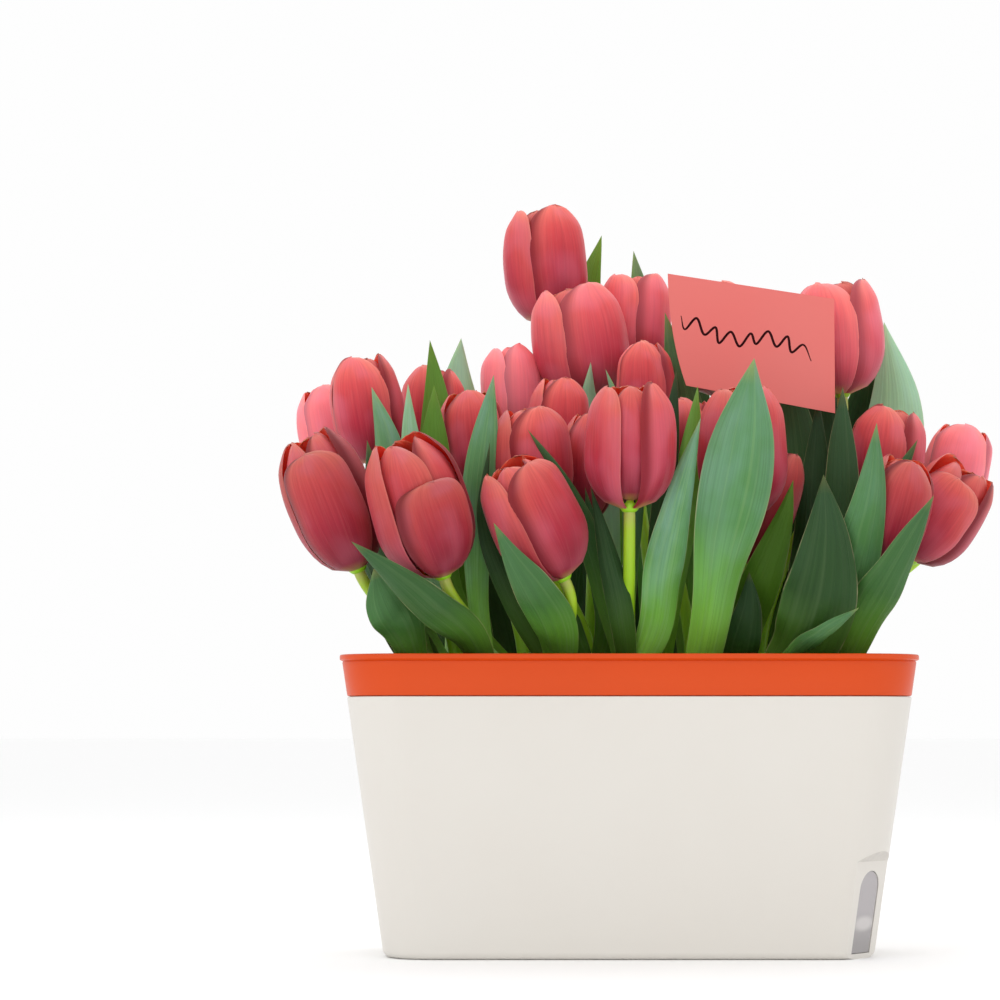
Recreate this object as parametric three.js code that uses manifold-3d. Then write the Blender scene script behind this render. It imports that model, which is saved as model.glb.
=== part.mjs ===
// Tulips in a rectangular self-watering planter, with a small paper card among the flowers.
// Millimetres, +Z up. The origin is the middle of the planter's flat underside, X runs along
// its long side and -Y is the front.
import * as THREE from 'three';
import { mergeVertices } from 'three/addons/utils/BufferGeometryUtils.js';
import Module from 'manifold-3d';

const wasm = await Module();
wasm.setup();

// ---- driving dimensions ----
const POT_HEIGHT = 132.5; // outer pot, up to its rim
const POT_FOOT = [125.2, 53]; // half length and half depth at the foot
const POT_FLARE = 18.5; // how far each wall leans out over the pot's height
const POT_WALL = 3;
const POT_FLOOR = 3;
const FOOT_ROUNDING = 4;
const RIM_ROUNDING = 1;
const CORNER_FOOT = 25; // plan radius of the corners at the foot
const CORNER_RIM = 29;
const GAP = 0.3; // left between pieces that touch

const RIM_TOP = 153.8; // top of the liner's lip
const BAND_FLARE = 2.6; // how far the liner's band leans out above the outer pot
const LIP = 1.2; // how far the rolled lip stands out of the band
const LIP_HEIGHT = 2.9;
const LIP_ROUNDING = 0.9;
const LINER_WALL = 2.5;
const LINER_FLOOR = 60; // underside of the basket's floor
const LINER_SLACK = 1; // between the basket and the outer pot
const LEG_X = 62; // the two wicking legs stand left and right of the middle
const LEG_RADIUS = [15, 19]; // at the foot and at the basket's floor
const LEG_WALL = 2;
const LEG_SIDES = 8;
const SLOT = { width: 2.4, height: 16, middle: 17.3 }; // lets water into the legs

const SOIL_TOP = 134;
const SEAT_PITCH = 35.3; // between neighbouring plants of a row
const ROW_PITCH = 27;
const BULB_FOOT = 84;
const BULB_HEIGHT = 33;
const BULB_RADIUS = 12.5;
const STEM_RADIUS = 3.2;
const STEM_SIDES = 5;
const NECK = 6; // a stem is straight and upright up to this far above the soil
const LEAF_FOOT = 4; // a leaf leaves its stem this far above the soil
const HOLE_SLACK = 1.3;

const BLADE_THICK = 1.8;
const PETAL_THICK = 1.5;

const CARD_THICK = 0.8;
const CARD = { // corners in X and Z; its left edge curls through the last point
  bottomLeft: [32.5, 297],
  bottomRight: [111, 282.3],
  topRight: [111, 343],
  topLeft: [23, 356.5],
  curl: [23.5, 323],
};
const PICK = { x: 54, y: 8, radius: 1.2, low: 96, high: 340 }; // upright, behind the card

// ---- materials ----
function finish(color, roughness) {
  return new THREE.MeshStandardMaterial({ color, roughness, metalness: 0 });
}
const potWhite = finish('#e6e2db', 0.45);
const linerOrange = finish('#d9552d', 0.45);
const windowGrey = finish('#b1acaa', 0.2);
const floatWhite = finish('#d8d6d2', 0.5);
const soilBrown = finish('#3b2a1f', 0.95);
const leafGreen = finish('#5b8a5c', 0.55);
const petalCoral = finish('#d8494c', 0.55);
const cardCoral = finish('#e67873', 0.8);
const pickWood = finish('#c9a878', 0.7);

const model = new THREE.Group();

function piece(name, geometry, material) {
  const mesh = new THREE.Mesh(geometry, material);
  mesh.name = name;
  model.add(mesh);
  return mesh;
}

// ---- solids ----
function solid(geometry) {
  const bare = geometry.clone();
  bare.deleteAttribute('normal');
  bare.deleteAttribute('uv');
  const merged = mergeVertices(bare, 1e-4);
  return new wasm.Manifold(new wasm.Mesh({
    numProp: 3,
    vertProperties: new Float32Array(merged.attributes.position.array),
    triVerts: new Uint32Array(merged.index.array),
  }));
}

function geometryOf(manifold) {
  const mesh = manifold.getMesh();
  const geometry = new THREE.BufferGeometry();
  geometry.setAttribute('position', new THREE.BufferAttribute(mesh.vertProperties, 3));
  geometry.setIndex(new THREE.BufferAttribute(mesh.triVerts, 1));
  geometry.computeVertexNormals();
  return geometry;
}

function join(solids) {
  return solids.reduce((whole, next) => whole.add(next));
}

// A body of revolution about +Z, from radii and heights.
function turned(profile, sides) {
  return new THREE.LatheGeometry(profile.map(([r, z]) => new THREE.Vector2(r, z)), sides)
    .rotateX(Math.PI / 2);
}

function closedGeometry(points, triangles) {
  const geometry = new THREE.BufferGeometry();
  const positions = points.flatMap((point) => point.toArray());
  geometry.setAttribute('position', new THREE.Float32BufferAttribute(positions, 3));
  geometry.setIndex(triangles.flat());
  return geometry;
}

// ---- rounded rectangles, one above the other ----
const CORNER_STEPS = 4;

function roundedRing(halfLength, halfDepth, corner, z) {
  const ring = [];
  for (let quarter = 0; quarter < 4; quarter += 1) {
    const sideX = quarter === 0 || quarter === 3 ? 1 : -1;
    const sideY = quarter < 2 ? 1 : -1;
    for (let step = 0; step <= CORNER_STEPS; step += 1) {
      const angle = (quarter + step / CORNER_STEPS) * (Math.PI / 2);
      const x = sideX * (halfLength - corner) + corner * Math.cos(angle);
      const y = sideY * (halfDepth - corner) + corner * Math.sin(angle);
      ring.push(new THREE.Vector3(x, y, z));
    }
  }
  return ring;
}

function loft(rings) {
  const around = rings[0].length;
  const triangles = [];
  for (let level = 0; level < rings.length - 1; level += 1) {
    for (let i = 0; i < around; i += 1) {
      const a = level * around + i;
      const b = level * around + ((i + 1) % around);
      triangles.push([a, b, b + around], [a, b + around, a + around]);
    }
  }
  const last = (rings.length - 1) * around;
  for (let i = 1; i < around - 1; i += 1) {
    triangles.push([0, i + 1, i], [last, last + i, last + i + 1]);
  }
  return closedGeometry(rings.flat(), triangles);
}

// The outer pot's outside at a height, drawn in by an inset.
function potRing(z, inset) {
  const lean = (POT_FLARE * z) / POT_HEIGHT;
  const corner = CORNER_FOOT + ((CORNER_RIM - CORNER_FOOT) * z) / POT_HEIGHT;
  return roundedRing(POT_FOOT[0] + lean - inset, POT_FOOT[1] + lean - inset, corner - inset, z);
}

// ---- outer pot, with its recess and water window ----
// The recess is a flat face on the front right corner, steeper than the walls.
const RECESS_TOP = 50;
const RECESS_TURN = 35.3; // its face looks this far round from +X towards the front
const RECESS_SLOPE = 9.5; // and leans out by this much
const RECESS_FOOT = [108.6, -51.5]; // where its left edge meets the foot, in plan
const RECESS_LEDGE = 23; // rise of the slanting ledge above it, over the cutter's reach
const RECESS_RUN = [-12, 60]; // the cutter's ends along the face, both outside the pot
const CUTTER_REACH = 20; // how far the cutters run out of the corner
const CUTTER_LOW = -8; // and below the foot
const BACKING_RISE = 7; // how far the wall behind the recess is thickened above it
const WINDOW = { width: 19, height: 42.5, low: 2.6, thick: 1.4, along: 13.6, setBack: 0.4 };

// Local frame of the recess: X out of its face, Y along it towards the back, Z up its slope.
const recessFrame = new THREE.Matrix4()
  .makeTranslation(RECESS_FOOT[0], RECESS_FOOT[1], 0)
  .multiply(new THREE.Matrix4().makeRotationZ(THREE.MathUtils.degToRad(-RECESS_TURN)))
  .multiply(new THREE.Matrix4().makeRotationY(THREE.MathUtils.degToRad(RECESS_SLOPE)));

// A prism on the recess: an outline in its X and Z, run along its Y.
function recessPrism(outline) {
  const [from, to] = RECESS_RUN;
  const shape = new THREE.Shape(outline.map(([x, z]) => new THREE.Vector2(x, z)));
  const prism = new THREE.ExtrudeGeometry(shape, { depth: to - from, bevelEnabled: false });
  prism.rotateX(Math.PI / 2).translate(0, to, 0);
  return prism.applyMatrix4(recessFrame);
}

// The window's outline, flat foot and round top, run through the wall.
function windowPrism(inset, from, to) {
  const half = WINDOW.width / 2 - inset;
  const spring = WINDOW.low + WINDOW.height - WINDOW.width / 2;
  const shape = new THREE.Shape();
  shape.moveTo(-half, WINDOW.low + inset);
  shape.lineTo(half, WINDOW.low + inset);
  shape.lineTo(half, spring);
  shape.absarc(0, spring, half, 0, Math.PI, false);
  const through = { depth: to - from, bevelEnabled: false, curveSegments: 8 };
  const prism = new THREE.ExtrudeGeometry(shape, through);
  prism.rotateX(Math.PI / 2).rotateZ(Math.PI / 2).translate(from, WINDOW.along, 0);
  return prism.applyMatrix4(recessFrame);
}

const potOutside = solid(loft([
  potRing(0, FOOT_ROUNDING),
  potRing(FOOT_ROUNDING * 0.3, FOOT_ROUNDING * 0.3),
  potRing(FOOT_ROUNDING, 0),
  potRing(POT_HEIGHT - RIM_ROUNDING, 0),
  potRing(POT_HEIGHT, RIM_ROUNDING),
]));
const potInside = solid(loft([
  potRing(POT_FLOOR, POT_WALL + RIM_ROUNDING),
  potRing(POT_HEIGHT + RIM_ROUNDING, POT_WALL),
]));
const recessCut = solid(recessPrism([
  [0, CUTTER_LOW],
  [CUTTER_REACH, CUTTER_LOW],
  [CUTTER_REACH, RECESS_TOP + RECESS_LEDGE],
  [0, RECESS_TOP],
]));
const recessBacking = solid(recessPrism([
  [-POT_WALL, CUTTER_LOW],
  [CUTTER_REACH, CUTTER_LOW],
  [CUTTER_REACH, RECESS_TOP + BACKING_RISE],
  [-POT_WALL, RECESS_TOP + BACKING_RISE],
]));
const windowHole = solid(windowPrism(0, -2 * POT_WALL, POT_WALL));
const outerPot = potOutside
  .subtract(potInside.subtract(recessBacking))
  .subtract(recessCut)
  .subtract(windowHole);
piece('outer_pot', geometryOf(outerPot), potWhite);
piece('water_window', windowPrism(GAP, -WINDOW.thick - WINDOW.setBack, -WINDOW.setBack), windowGrey);

// A light bobber on the reservoir's floor, behind the window: foot, thin neck and head, as radii
// and heights above the floor.
const FLOAT_PROFILE = [
  [0, 0], [4, 0], [4, 1.7], [1.5, 3.2], [1.5, 10.2], [3.6, 11.2], [4, 14.7], [2.8, 17.1], [0, 17.7],
];
const FLOAT_SIDES = 6;
const FLOAT_SET_BACK = 9; // from the recess face to its axis
const floatPlace = new THREE.Vector3(-FLOAT_SET_BACK, WINDOW.along, 0).applyMatrix4(recessFrame);
const float = piece('water_float', turned(FLOAT_PROFILE, FLOAT_SIDES), floatWhite);
float.position.set(floatPlace.x, floatPlace.y, POT_FLOOR + GAP);

// ---- inner pot: basket, shoulder, flared band and rolled lip, with two slotted wicking legs ----
const BASKET_INSET = POT_WALL + LINER_SLACK;

// The liner's band at a height above the outer pot, standing out by an amount.
function bandRing(z, out) {
  return roundedRing(
    POT_FOOT[0] + POT_FLARE + out,
    POT_FOOT[1] + POT_FLARE + out,
    CORNER_RIM + out,
    z,
  );
}

function legCone(inset, low, high) {
  const [foot, top] = LEG_RADIUS;
  return turned([[0, low], [foot - inset, low], [top - inset, high], [0, high]], LEG_SIDES);
}

function onBothLegs(geometry) {
  return join([-LEG_X, LEG_X].map((x) => solid(geometry.clone().translate(x, 0, 0))));
}

const BAND_FOOT = POT_HEIGHT + GAP;
const LIP_FOOT = RIM_TOP - LIP_HEIGHT;
const FLOOR_BEVEL = 2;
const basket = solid(loft([
  potRing(LINER_FLOOR, BASKET_INSET + FLOOR_BEVEL),
  potRing(LINER_FLOOR + FLOOR_BEVEL, BASKET_INSET),
  potRing(BAND_FOOT, BASKET_INSET),
  bandRing(BAND_FOOT, -GAP),
  bandRing(BAND_FOOT + RIM_ROUNDING, 0),
  bandRing(LIP_FOOT - GAP, BAND_FLARE),
  bandRing(LIP_FOOT, BAND_FLARE + LIP),
  bandRing(RIM_TOP - LIP_ROUNDING, BAND_FLARE + LIP),
  bandRing(RIM_TOP, BAND_FLARE + LIP - LIP_ROUNDING),
  bandRing(RIM_TOP, BAND_FLARE - LINER_WALL + LIP_ROUNDING),
  bandRing(RIM_TOP - LIP_ROUNDING, BAND_FLARE - LINER_WALL),
  bandRing(BAND_FOOT + LINER_WALL, -LINER_WALL),
  potRing(BAND_FOOT - LINER_WALL / 2, BASKET_INSET + LINER_WALL),
  potRing(LINER_FLOOR + LINER_WALL, BASKET_INSET + LINER_WALL),
]));
const LEG_FOOT = POT_FLOOR + GAP;
const legs = onBothLegs(legCone(0, LEG_FOOT, LINER_FLOOR + RIM_ROUNDING));
const legHollows = onBothLegs(
  legCone(LEG_WALL, LEG_FOOT + LEG_WALL, LINER_FLOOR + LINER_WALL + RIM_ROUNDING),
);
const slots = [0, 1, 2, 3].map((n) => onBothLegs(
  new THREE.BoxGeometry(LEG_RADIUS[1], SLOT.width, SLOT.height)
    .translate(LEG_RADIUS[1] * 0.75, 0, SLOT.middle)
    .rotateZ((n + 0.5) * (Math.PI / 2)),
));
piece('inner_pot', geometryOf(basket.add(legs).subtract(legHollows).subtract(join(slots))), linerOrange);

// ---- plants ----
// Four rows of seats in the soil, 7, 6, 7 and 6 plants long, every second row set between the
// seats of the row in front.
//
// tulip: the middle of the bloom; its length, its radius, the share of its length that its leading
// outer petal reaches and half the angle a petal spans; how far its tip leans to the right and to
// the front, in degrees; how open it is, from 0 to 1; the way that its leading petal looks, in
// degrees round from the front to the right; and its leaves.
// leaf: its greatest width; the way its outer face looks, in degrees round from the front to the
// right; then its midrib's points from above the soil to the tip. A broad-topped leaf keeps
// narrow low down and is widest far up.
function tulip(middle, [length, radius, lead, spread = 58], lean, open, turn, leaves) {
  return { middle, length, radius, lead, spread, lean, open, turn, leaves };
}
function leaf(width, face, ...rib) {
  return { width, face, rib, belly: 0.42, waist: 1 };
}
function broadTopped(width, face, ...rib) {
  return { width, face, rib, belly: 0.64, waist: 2.5 };
}

const ROWS = [
  [
    tulip([-151, -62, 230], [76, 22, 0.88], [-22, 9], 0.35, -10, [
      leaf(20, -40, [-120, -48, 169], [-129, -44, 182], [-134, -40, 192]),
      broadTopped(26, 0, [-113, -60, 163], [-122, -71, 180], [-129, -76, 196]),
      leaf(18, -90, [-120, -32, 160], [-130, -29, 182], [-145, -28, 210]),
      broadTopped(14, 0, [-117, -40, 190], [-128, -40, 230], [-134, -40, 264]),
    ]),
    tulip([-105, -88, 226], [76, 25, 0.68], [-18, 12], 0.3, 20, [
      leaf(21, -20, [-82, -64, 161], [-100, -88, 176], [-120, -104, 193], [-139, -106, 208]),
      broadTopped(18, 0, [-77, -47, 182], [-77, -52, 222], [-74, -56, 260], [-69, -54, 296]),
    ]),
    tulip([-48, -82, 220], [68, 23, 0.94], [-26, 11], 0.35, 38, [
      leaf(23, -10, [-38, -66, 165], [-49, -92, 184], [-61, -108, 202], [-69, -110, 217]),
      leaf(10, 0, [-60, -54, 181], [-74, -62, 221], [-71, -62, 261]),
    ]),
    tulip([-1, -80, 257], [66, 23, 1, 42], [0, 6], 0.42, 60, [
      leaf(20, 10, [13, -52, 166], [17, -66, 196], [25, -78, 235], [35, -76, 272]),
      leaf(13, 0, [-11, -40, 182], [-22, -50, 217], [-36, -62, 244], [-52, -68, 267]),
      leaf(13, 0, [-4, -58, 171], [-11.5, -64, 204], [-20, -66, 238]),
    ]),
    tulip([58, -45, 257], [70, 23, 1], [0, 5], 0.35, 60, [
      broadTopped(37, 5, [41, -58, 171], [46, -74, 206], [54, -82, 245], [62, -76, 302]),
    ]),
    tulip([133, -55, 225], [60, 19, 1], [15, 12], 0.3, 10, [
      leaf(38, 0, [87, -62, 158], [94, -80, 180], [97, -84, 210], [96, -80, 243]),
      leaf(12, 20, [86, -62, 156], [98, -82, 166], [112, -92, 176]),
    ]),
    tulip([162, -24, 227], [60, 21, 0.84], [34, 8], 0.6, -15, [
      leaf(23, 15, [114, -56, 161], [122, -70, 178], [133, -86, 200], [150, -88, 232]),
      leaf(25, 5, [107, -60, 171], [113, -72, 201], [120, -80, 235], [124, -70, 270]),
    ]),
  ],
  [
    tulip([-135, -10, 282], [60, 19, 1], [-9, 8], 0.4, -20, [
      broadTopped(20, -10, [-113, -22, 183], [-120, -30, 234], [-124, -34, 264], [-132, -34, 292]),
      leaf(18, -80, [-106, -12, 160], [-122, -8, 186], [-132, -6, 216]),
    ]),
    tulip([-80, -5, 266], [56, 18, 1], [-5, 4], 0.3, 0, [
      broadTopped(22, 0, [-91, -24, 183], [-100, -22, 235], [-100, -24, 271], [-100, -24, 294]),
      broadTopped(15, 0, [-97, -30, 183], [-108, -41, 234], [-112, -44, 270], [-113, -42, 293]),
    ]),
    tulip([-49, -44, 252], [60, 21, 1], [-3, 8], 0.35, 25, [
      leaf(14, 0, [-10, -26, 172], [-16, -30, 206], [-22, -34, 240]),
      leaf(16, 0, [-30, -24, 165], [-38, -26, 190], [-42, -28, 215]),
    ]),
    tulip([33, 3, 262], [56, 18, 1], [0, 4], 0.3, -30, [
      broadTopped(12, 0, [13, -24, 183], [20, -24, 245], [26, -22, 303]),
      broadTopped(15, 0, [24, -20, 183], [32, -20, 245], [37, -20, 294]),
    ]),
    tulip([71, -3, 232], [66, 18.5, 1], [19, 6], 0.5, 50, [
      leaf(21, 0, [61, -28, 172], [70, -40, 197], [79, -46, 223], [84, -46, 243]),
      leaf(20, 0, [57, -38, 158], [61, -45, 178], [61, -48, 196]),
    ]),
    tulip([138, 10, 259], [56, 21, 1], [8, 5], 0.3, -40, [
      broadTopped(18, 0, [104, -22, 183], [111, -24, 234], [112, -20, 271], [113, -14, 294]),
      leaf(24, 0, [92, -4, 170], [100, 8, 210], [102, 14, 255], [103, 12, 292]),
      broadTopped(14, 0, [106, -18, 175], [124, -22, 210], [139, -22, 243], [151, -21, 266]),
    ]),
  ],
  [
    tulip([-156, 30, 272], [56, 17, 1], [-12, 0], 0.3, 10, [
      leaf(18, -120, [-130, 24, 174], [-142, 44, 217], [-150, 56, 256]),
      leaf(18, -90, [-118, 14, 160], [-134, 14, 192], [-150, 12, 230]),
    ]),
    tulip([-102, 38, 281], [60, 18, 1], [0, 0], 0.3, -40, [
      broadTopped(20, 0, [-90, 8, 205], [-98, 8, 258], [-100, 10, 295], [-103, 12, 322]),
      leaf(20, 180, [-80, 26, 170], [-86, 36, 205], [-88, 40, 232]),
    ]),
    tulip([-35, 15, 275], [56, 17, 1], [3, 4], 0.3, 20, [
      leaf(14, 180, [-46, 24, 180], [-52, 28, 230], [-54, 30, 280]),
    ]),
    tulip([-20, -16, 252], [58, 14, 1], [0, 4], 0.2, 0, [
      broadTopped(19, 0, [-8, 32, 206], [-13, 43, 260], [-18, 41, 292], [-17, 36, 313]),
      broadTopped(12, 0, [3, 14, 200], [4, 8, 250], [-4, 6, 288], [-10, 8, 306]),
    ]),
    tulip([12, 22, 297], [52, 15.5, 1], [-2, 4], 0.15, -20, [
      broadTopped(24, 0, [31, 20, 206], [34, 32, 270], [29, 38, 313], [23, 37, 340]),
      leaf(18, 180, [31, 26, 170], [38, 34, 205], [42, 34, 240]),
    ]),
    tulip([116.5, 40, 326], [64, 24.2, 1], [-4, 2], 0.6, 78, [
      broadTopped(30, 0, [89, 24, 185], [92, 28, 238], [90, 31, 280], [86, 34, 318]),
      leaf(20, 60, [90, 20, 170], [104, 26, 205], [112, 26, 240]),
    ]),
    tulip([180, 45, 255], [50, 18, 1], [13, 0], 0.5, -10, [
      broadTopped(18, 0, [140, 24, 206], [154, 29, 243], [156, 32, 269]),
      leaf(20, 90, [120, 18, 160], [134, 20, 185], [144, 24, 212]),
      leaf(20, 150, [112, 26, 170], [128, 44, 205], [140, 56, 238]),
    ]),
  ],
  [
    tulip([-59, 64, 298], [56, 17, 1], [-3, -8], 0.3, 45, [
      broadTopped(32, 0, [-85, 56, 229], [-88, 62, 272], [-89, 63, 304], [-87, 61, 329]),
      leaf(22, -160, [-98, 60, 170], [-112, 84, 205], [-118, 98, 240]),
    ]),
    tulip([-40, 97, 373], [68, 23, 1], [-4, -2], 0.5, 35, [
      leaf(26, 180, [-65, 60, 195], [-66, 82, 250], [-63, 96, 300]),
      leaf(20, 180, [-46, 62, 170], [-42, 88, 205], [-38, 104, 245]),
    ]),
    tulip([-21.5, 62, 326], [66, 26.5, 1], [-8, 5], 0.45, 35, [
      broadTopped(32, 180, [-10, 62, 190], [-7, 90, 250], [-15, 116, 310], [-18, 126, 354], [-8, 128, 396]),
      leaf(26, 180, [-21, 58, 165], [-20, 80, 195], [-20, 94, 230]),
    ]),
    tulip([9, 98, 339], [62, 20, 1], [3, -8], 0.6, 60, [
      broadTopped(30, 180, [17, 92, 260], [17, 127, 334], [10, 127, 387]),
      leaf(28, 180, [14, 60, 170], [16, 84, 215], [22, 100, 258]),
    ]),
    tulip([54, 52, 326], [64, 22, 1], [0, 0], 0.3, 0, [
      leaf(26, 180, [48, 64, 190], [47, 88, 240], [47, 104, 290], [48, 108, 325]),
      leaf(20, 170, [60, 60, 168], [68, 84, 200], [72, 98, 236]),
    ]),
    tulip([85, 88, 319], [60, 20, 1], [5, -8], 0.3, 30, [
      broadTopped(37, 10, [133, 58, 208], [148, 66, 257], [152, 70, 296], [145, 70, 339]),
      broadTopped(38, 165, [97, 66, 180], [117, 82, 230], [133, 86, 275], [140, 86, 322]),
      broadTopped(34, 0, [100, 52, 190], [107, 58, 240], [111, 64, 280], [110, 66, 318]),
    ]),
  ],
];

function seat(row, n) {
  const count = ROWS[row].length;
  return new THREE.Vector3((n - (count - 1) / 2) * SEAT_PITCH, (row - 1.5) * ROW_PITCH, SOIL_TOP);
}

function bloomAxis({ lean }) {
  const right = Math.tan(THREE.MathUtils.degToRad(lean[0]));
  const front = Math.tan(THREE.MathUtils.degToRad(lean[1]));
  return new THREE.Vector3(right, -front, 1).normalize();
}

function bloomTurn(plant) {
  return new THREE.Quaternion().setFromUnitVectors(new THREE.Vector3(0, 0, 1), bloomAxis(plant));
}

function bloomBase(plant) {
  return new THREE.Vector3(...plant.middle).addScaledVector(bloomAxis(plant), -plant.length / 2);
}

// ---- blooms ----
// A whorl: its radius as a share of the bloom's, how far its tips draw in, how much of the bloom's
// opening it takes up, the height of its foot in the bloom, the share of the bloom's length it
// reaches, the width of its petals as a share of the bloom's and the turn of its first petal.
const WIDEST = 0.4; // share of the bloom's length at which it is widest
const OUTER = {
  scale: 1, drawn: 0.55, opening: 0.45, foot: 1.5, top: 1, width: 1, turn: 0,
  columns: 3, rows: [0.16, 0.5, 0.88],
};
const INNER = {
  scale: 0.84, drawn: 0.7, opening: 0.2, foot: 5.5, top: 0.98, width: 0.97, turn: 60,
  columns: 2, rows: [0.3, 0.85],
};
const PETAL_LAP = 0.03; // how far one rim of a petal laps out over its neighbour
const PETAL_BOW = 0.08; // how far both its rims bend in
const PETAL_TAPER = 0.45; // how much narrower a short petal is
const HEART = [[0, 0], [3.5, 0], [5.8, 4.2], [0, 12]]; // swollen end of the stem inside the petals

// Radius of a whorl's petals on their middle lines, at a share of the bloom's length: round below
// and drawn in above, less so the more open the bloom is.
function petalRadius(plant, whorl, share) {
  const widest = plant.radius * whorl.scale;
  if (share < WIDEST) {
    const below = (WIDEST - share) / WIDEST;
    return widest * Math.sqrt(1 - 0.98 * below ** 2);
  }
  const above = (share - WIDEST) / (1 - WIDEST);
  return widest * (1 - (whorl.drawn - whorl.opening * plant.open) * above ** 3);
}

// Half the angle that a petal spans at a share of its length.
function petalSpread(plant, whorl, share) {
  const half = THREE.MathUtils.degToRad(plant.spread * whorl.width);
  if (share < WIDEST) return half * (0.85 + (0.15 * share) / WIDEST);
  return half * Math.max(0, 1 - ((share - WIDEST) / (1 - WIDEST)) ** 6) ** 0.4;
}

// A point of a petal that reaches a share of the bloom's length.
function petalPoint(plant, whorl, reach, share, across, lift) {
  const tall = plant.length * whorl.top - whorl.foot;
  const rise = share * reach;
  const step = 0.02;
  const slopeR = petalRadius(plant, whorl, rise + step) - petalRadius(plant, whorl, rise);
  const normal = new THREE.Vector2(tall * step, -slopeR).normalize();
  const bow = 1 + PETAL_LAP * across - PETAL_BOW * across ** 2;
  const radius = petalRadius(plant, whorl, rise) * bow;
  const narrowed = 1 - PETAL_TAPER * (1 - reach);
  const angle = petalSpread(plant, whorl, share) * narrowed * across;
  const r = radius + normal.x * lift;
  return new THREE.Vector3(
    r * Math.cos(angle),
    r * Math.sin(angle),
    whorl.foot + tall * rise + normal.y * lift,
  );
}

function petal(plant, whorl, reach, angle) {
  const { columns } = whorl;
  const foot = petalPoint(plant, whorl, reach, 0, 0, 0);
  const tip = petalPoint(plant, whorl, reach, 1, 0, 0);
  const rows = whorl.rows.map((share) => [0.5, -0.5].map((side) => {
    const line = [];
    for (let column = 0; column <= columns; column += 1) {
      const across = (2 * column) / columns - 1;
      const rim = column === 0 || column === columns;
      line.push(petalPoint(plant, whorl, reach, share, across, rim ? 0 : side * PETAL_THICK));
    }
    return line;
  }));
  return solid(sheet(foot, rows, tip).rotateZ(angle));
}

// A closed blade from rows of points across its outer and inner face, which meet at the rims,
// drawn together in a point at its foot and its tip. Both faces are split into triangles alike.
function sheet(foot, rows, tip) {
  const points = [foot, tip];
  const triangles = [];
  const columns = rows[0][0].length - 1;
  const placed = rows.map(([outer, inner]) => {
    const outerAt = outer.map((point) => points.push(point) - 1);
    const innerAt = inner.map((point, column) => (
      column === 0 || column === columns ? outerAt[column] : points.push(point) - 1
    ));
    return [outerAt, innerAt];
  });
  for (const face of [0, 1]) {
    const add = (a, b, c) => triangles.push(face === 0 ? [a, b, c] : [a, c, b]);
    for (let column = 0; column < columns; column += 1) {
      const lines = placed.map((row) => [row[face][column], row[face][column + 1]]);
      add(0, lines[0][1], lines[0][0]);
      for (let row = 0; row < lines.length - 1; row += 1) {
        const [a, b] = lines[row];
        const [d, c] = lines[row + 1];
        add(a, b, c);
        add(a, c, d);
      }
      add(...lines[lines.length - 1], 1);
    }
  }
  return closedGeometry(points, triangles);
}

function bloom(plant) {
  const petals = [solid(turned(HEART, 6))];
  for (const whorl of [OUTER, INNER]) {
    for (let n = 0; n < 3; n += 1) {
      const angle = THREE.MathUtils.degToRad(plant.turn - 90 + whorl.turn + 120 * n);
      const reach = whorl === OUTER && n === 0 ? plant.lead : 1;
      petals.push(petal(plant, whorl, reach, angle));
    }
  }
  return geometryOf(join(petals));
}

// ---- leafy stems ----
const STEM_STEPS = 5;

function stem(plant, place) {
  const base = bloomBase(plant);
  const axis = bloomAxis(plant);
  const reach = base.distanceTo(place);
  const path = new THREE.CurvePath();
  const bulbTop = place.clone().setZ(BULB_FOOT + BULB_HEIGHT * 0.7);
  const neck = place.clone().setZ(SOIL_TOP + NECK);
  path.add(new THREE.LineCurve3(bulbTop, neck));
  path.add(new THREE.CubicBezierCurve3(
    neck,
    neck.clone().add(new THREE.Vector3(0, 0, reach * 0.42)),
    base.clone().addScaledVector(axis, -reach * 0.3),
    base.clone().addScaledVector(axis, -GAP),
  ));
  const section = new THREE.Shape();
  for (let side = 0; side < STEM_SIDES; side += 1) {
    const angle = (2 * Math.PI * side) / STEM_SIDES;
    const corner = [STEM_RADIUS * Math.cos(angle), STEM_RADIUS * Math.sin(angle)];
    if (side === 0) section.moveTo(...corner);
    else section.lineTo(...corner);
  }
  return new THREE.ExtrudeGeometry(section, { steps: STEM_STEPS, extrudePath: path });
}

function bulb(place) {
  return turned([[0, 0], [8, 1], [BULB_RADIUS, 10], [6.5, 25], [0, BULB_HEIGHT]], 6)
    .translate(place.x, place.y, BULB_FOOT);
}

// Share of the greatest width that a blade has at a share of its length. It is widest at its
// belly, and below that it stays narrow for longer the larger its waist.
function bladeWidth({ belly, waist }, share) {
  if (share < belly) return 0.5 + 0.5 * Math.sin((Math.PI / 2) * (share / belly) ** waist);
  return Math.cos((Math.PI / 2) * ((share - belly) / (1 - belly)));
}

const BLADE_ROWS = 5;
const BLADE_FOLD = 0.3; // how far its rims fold in, as a share of its half width
const BLADE_WAVE = 0.1; // and how far they wave in and out

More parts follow.
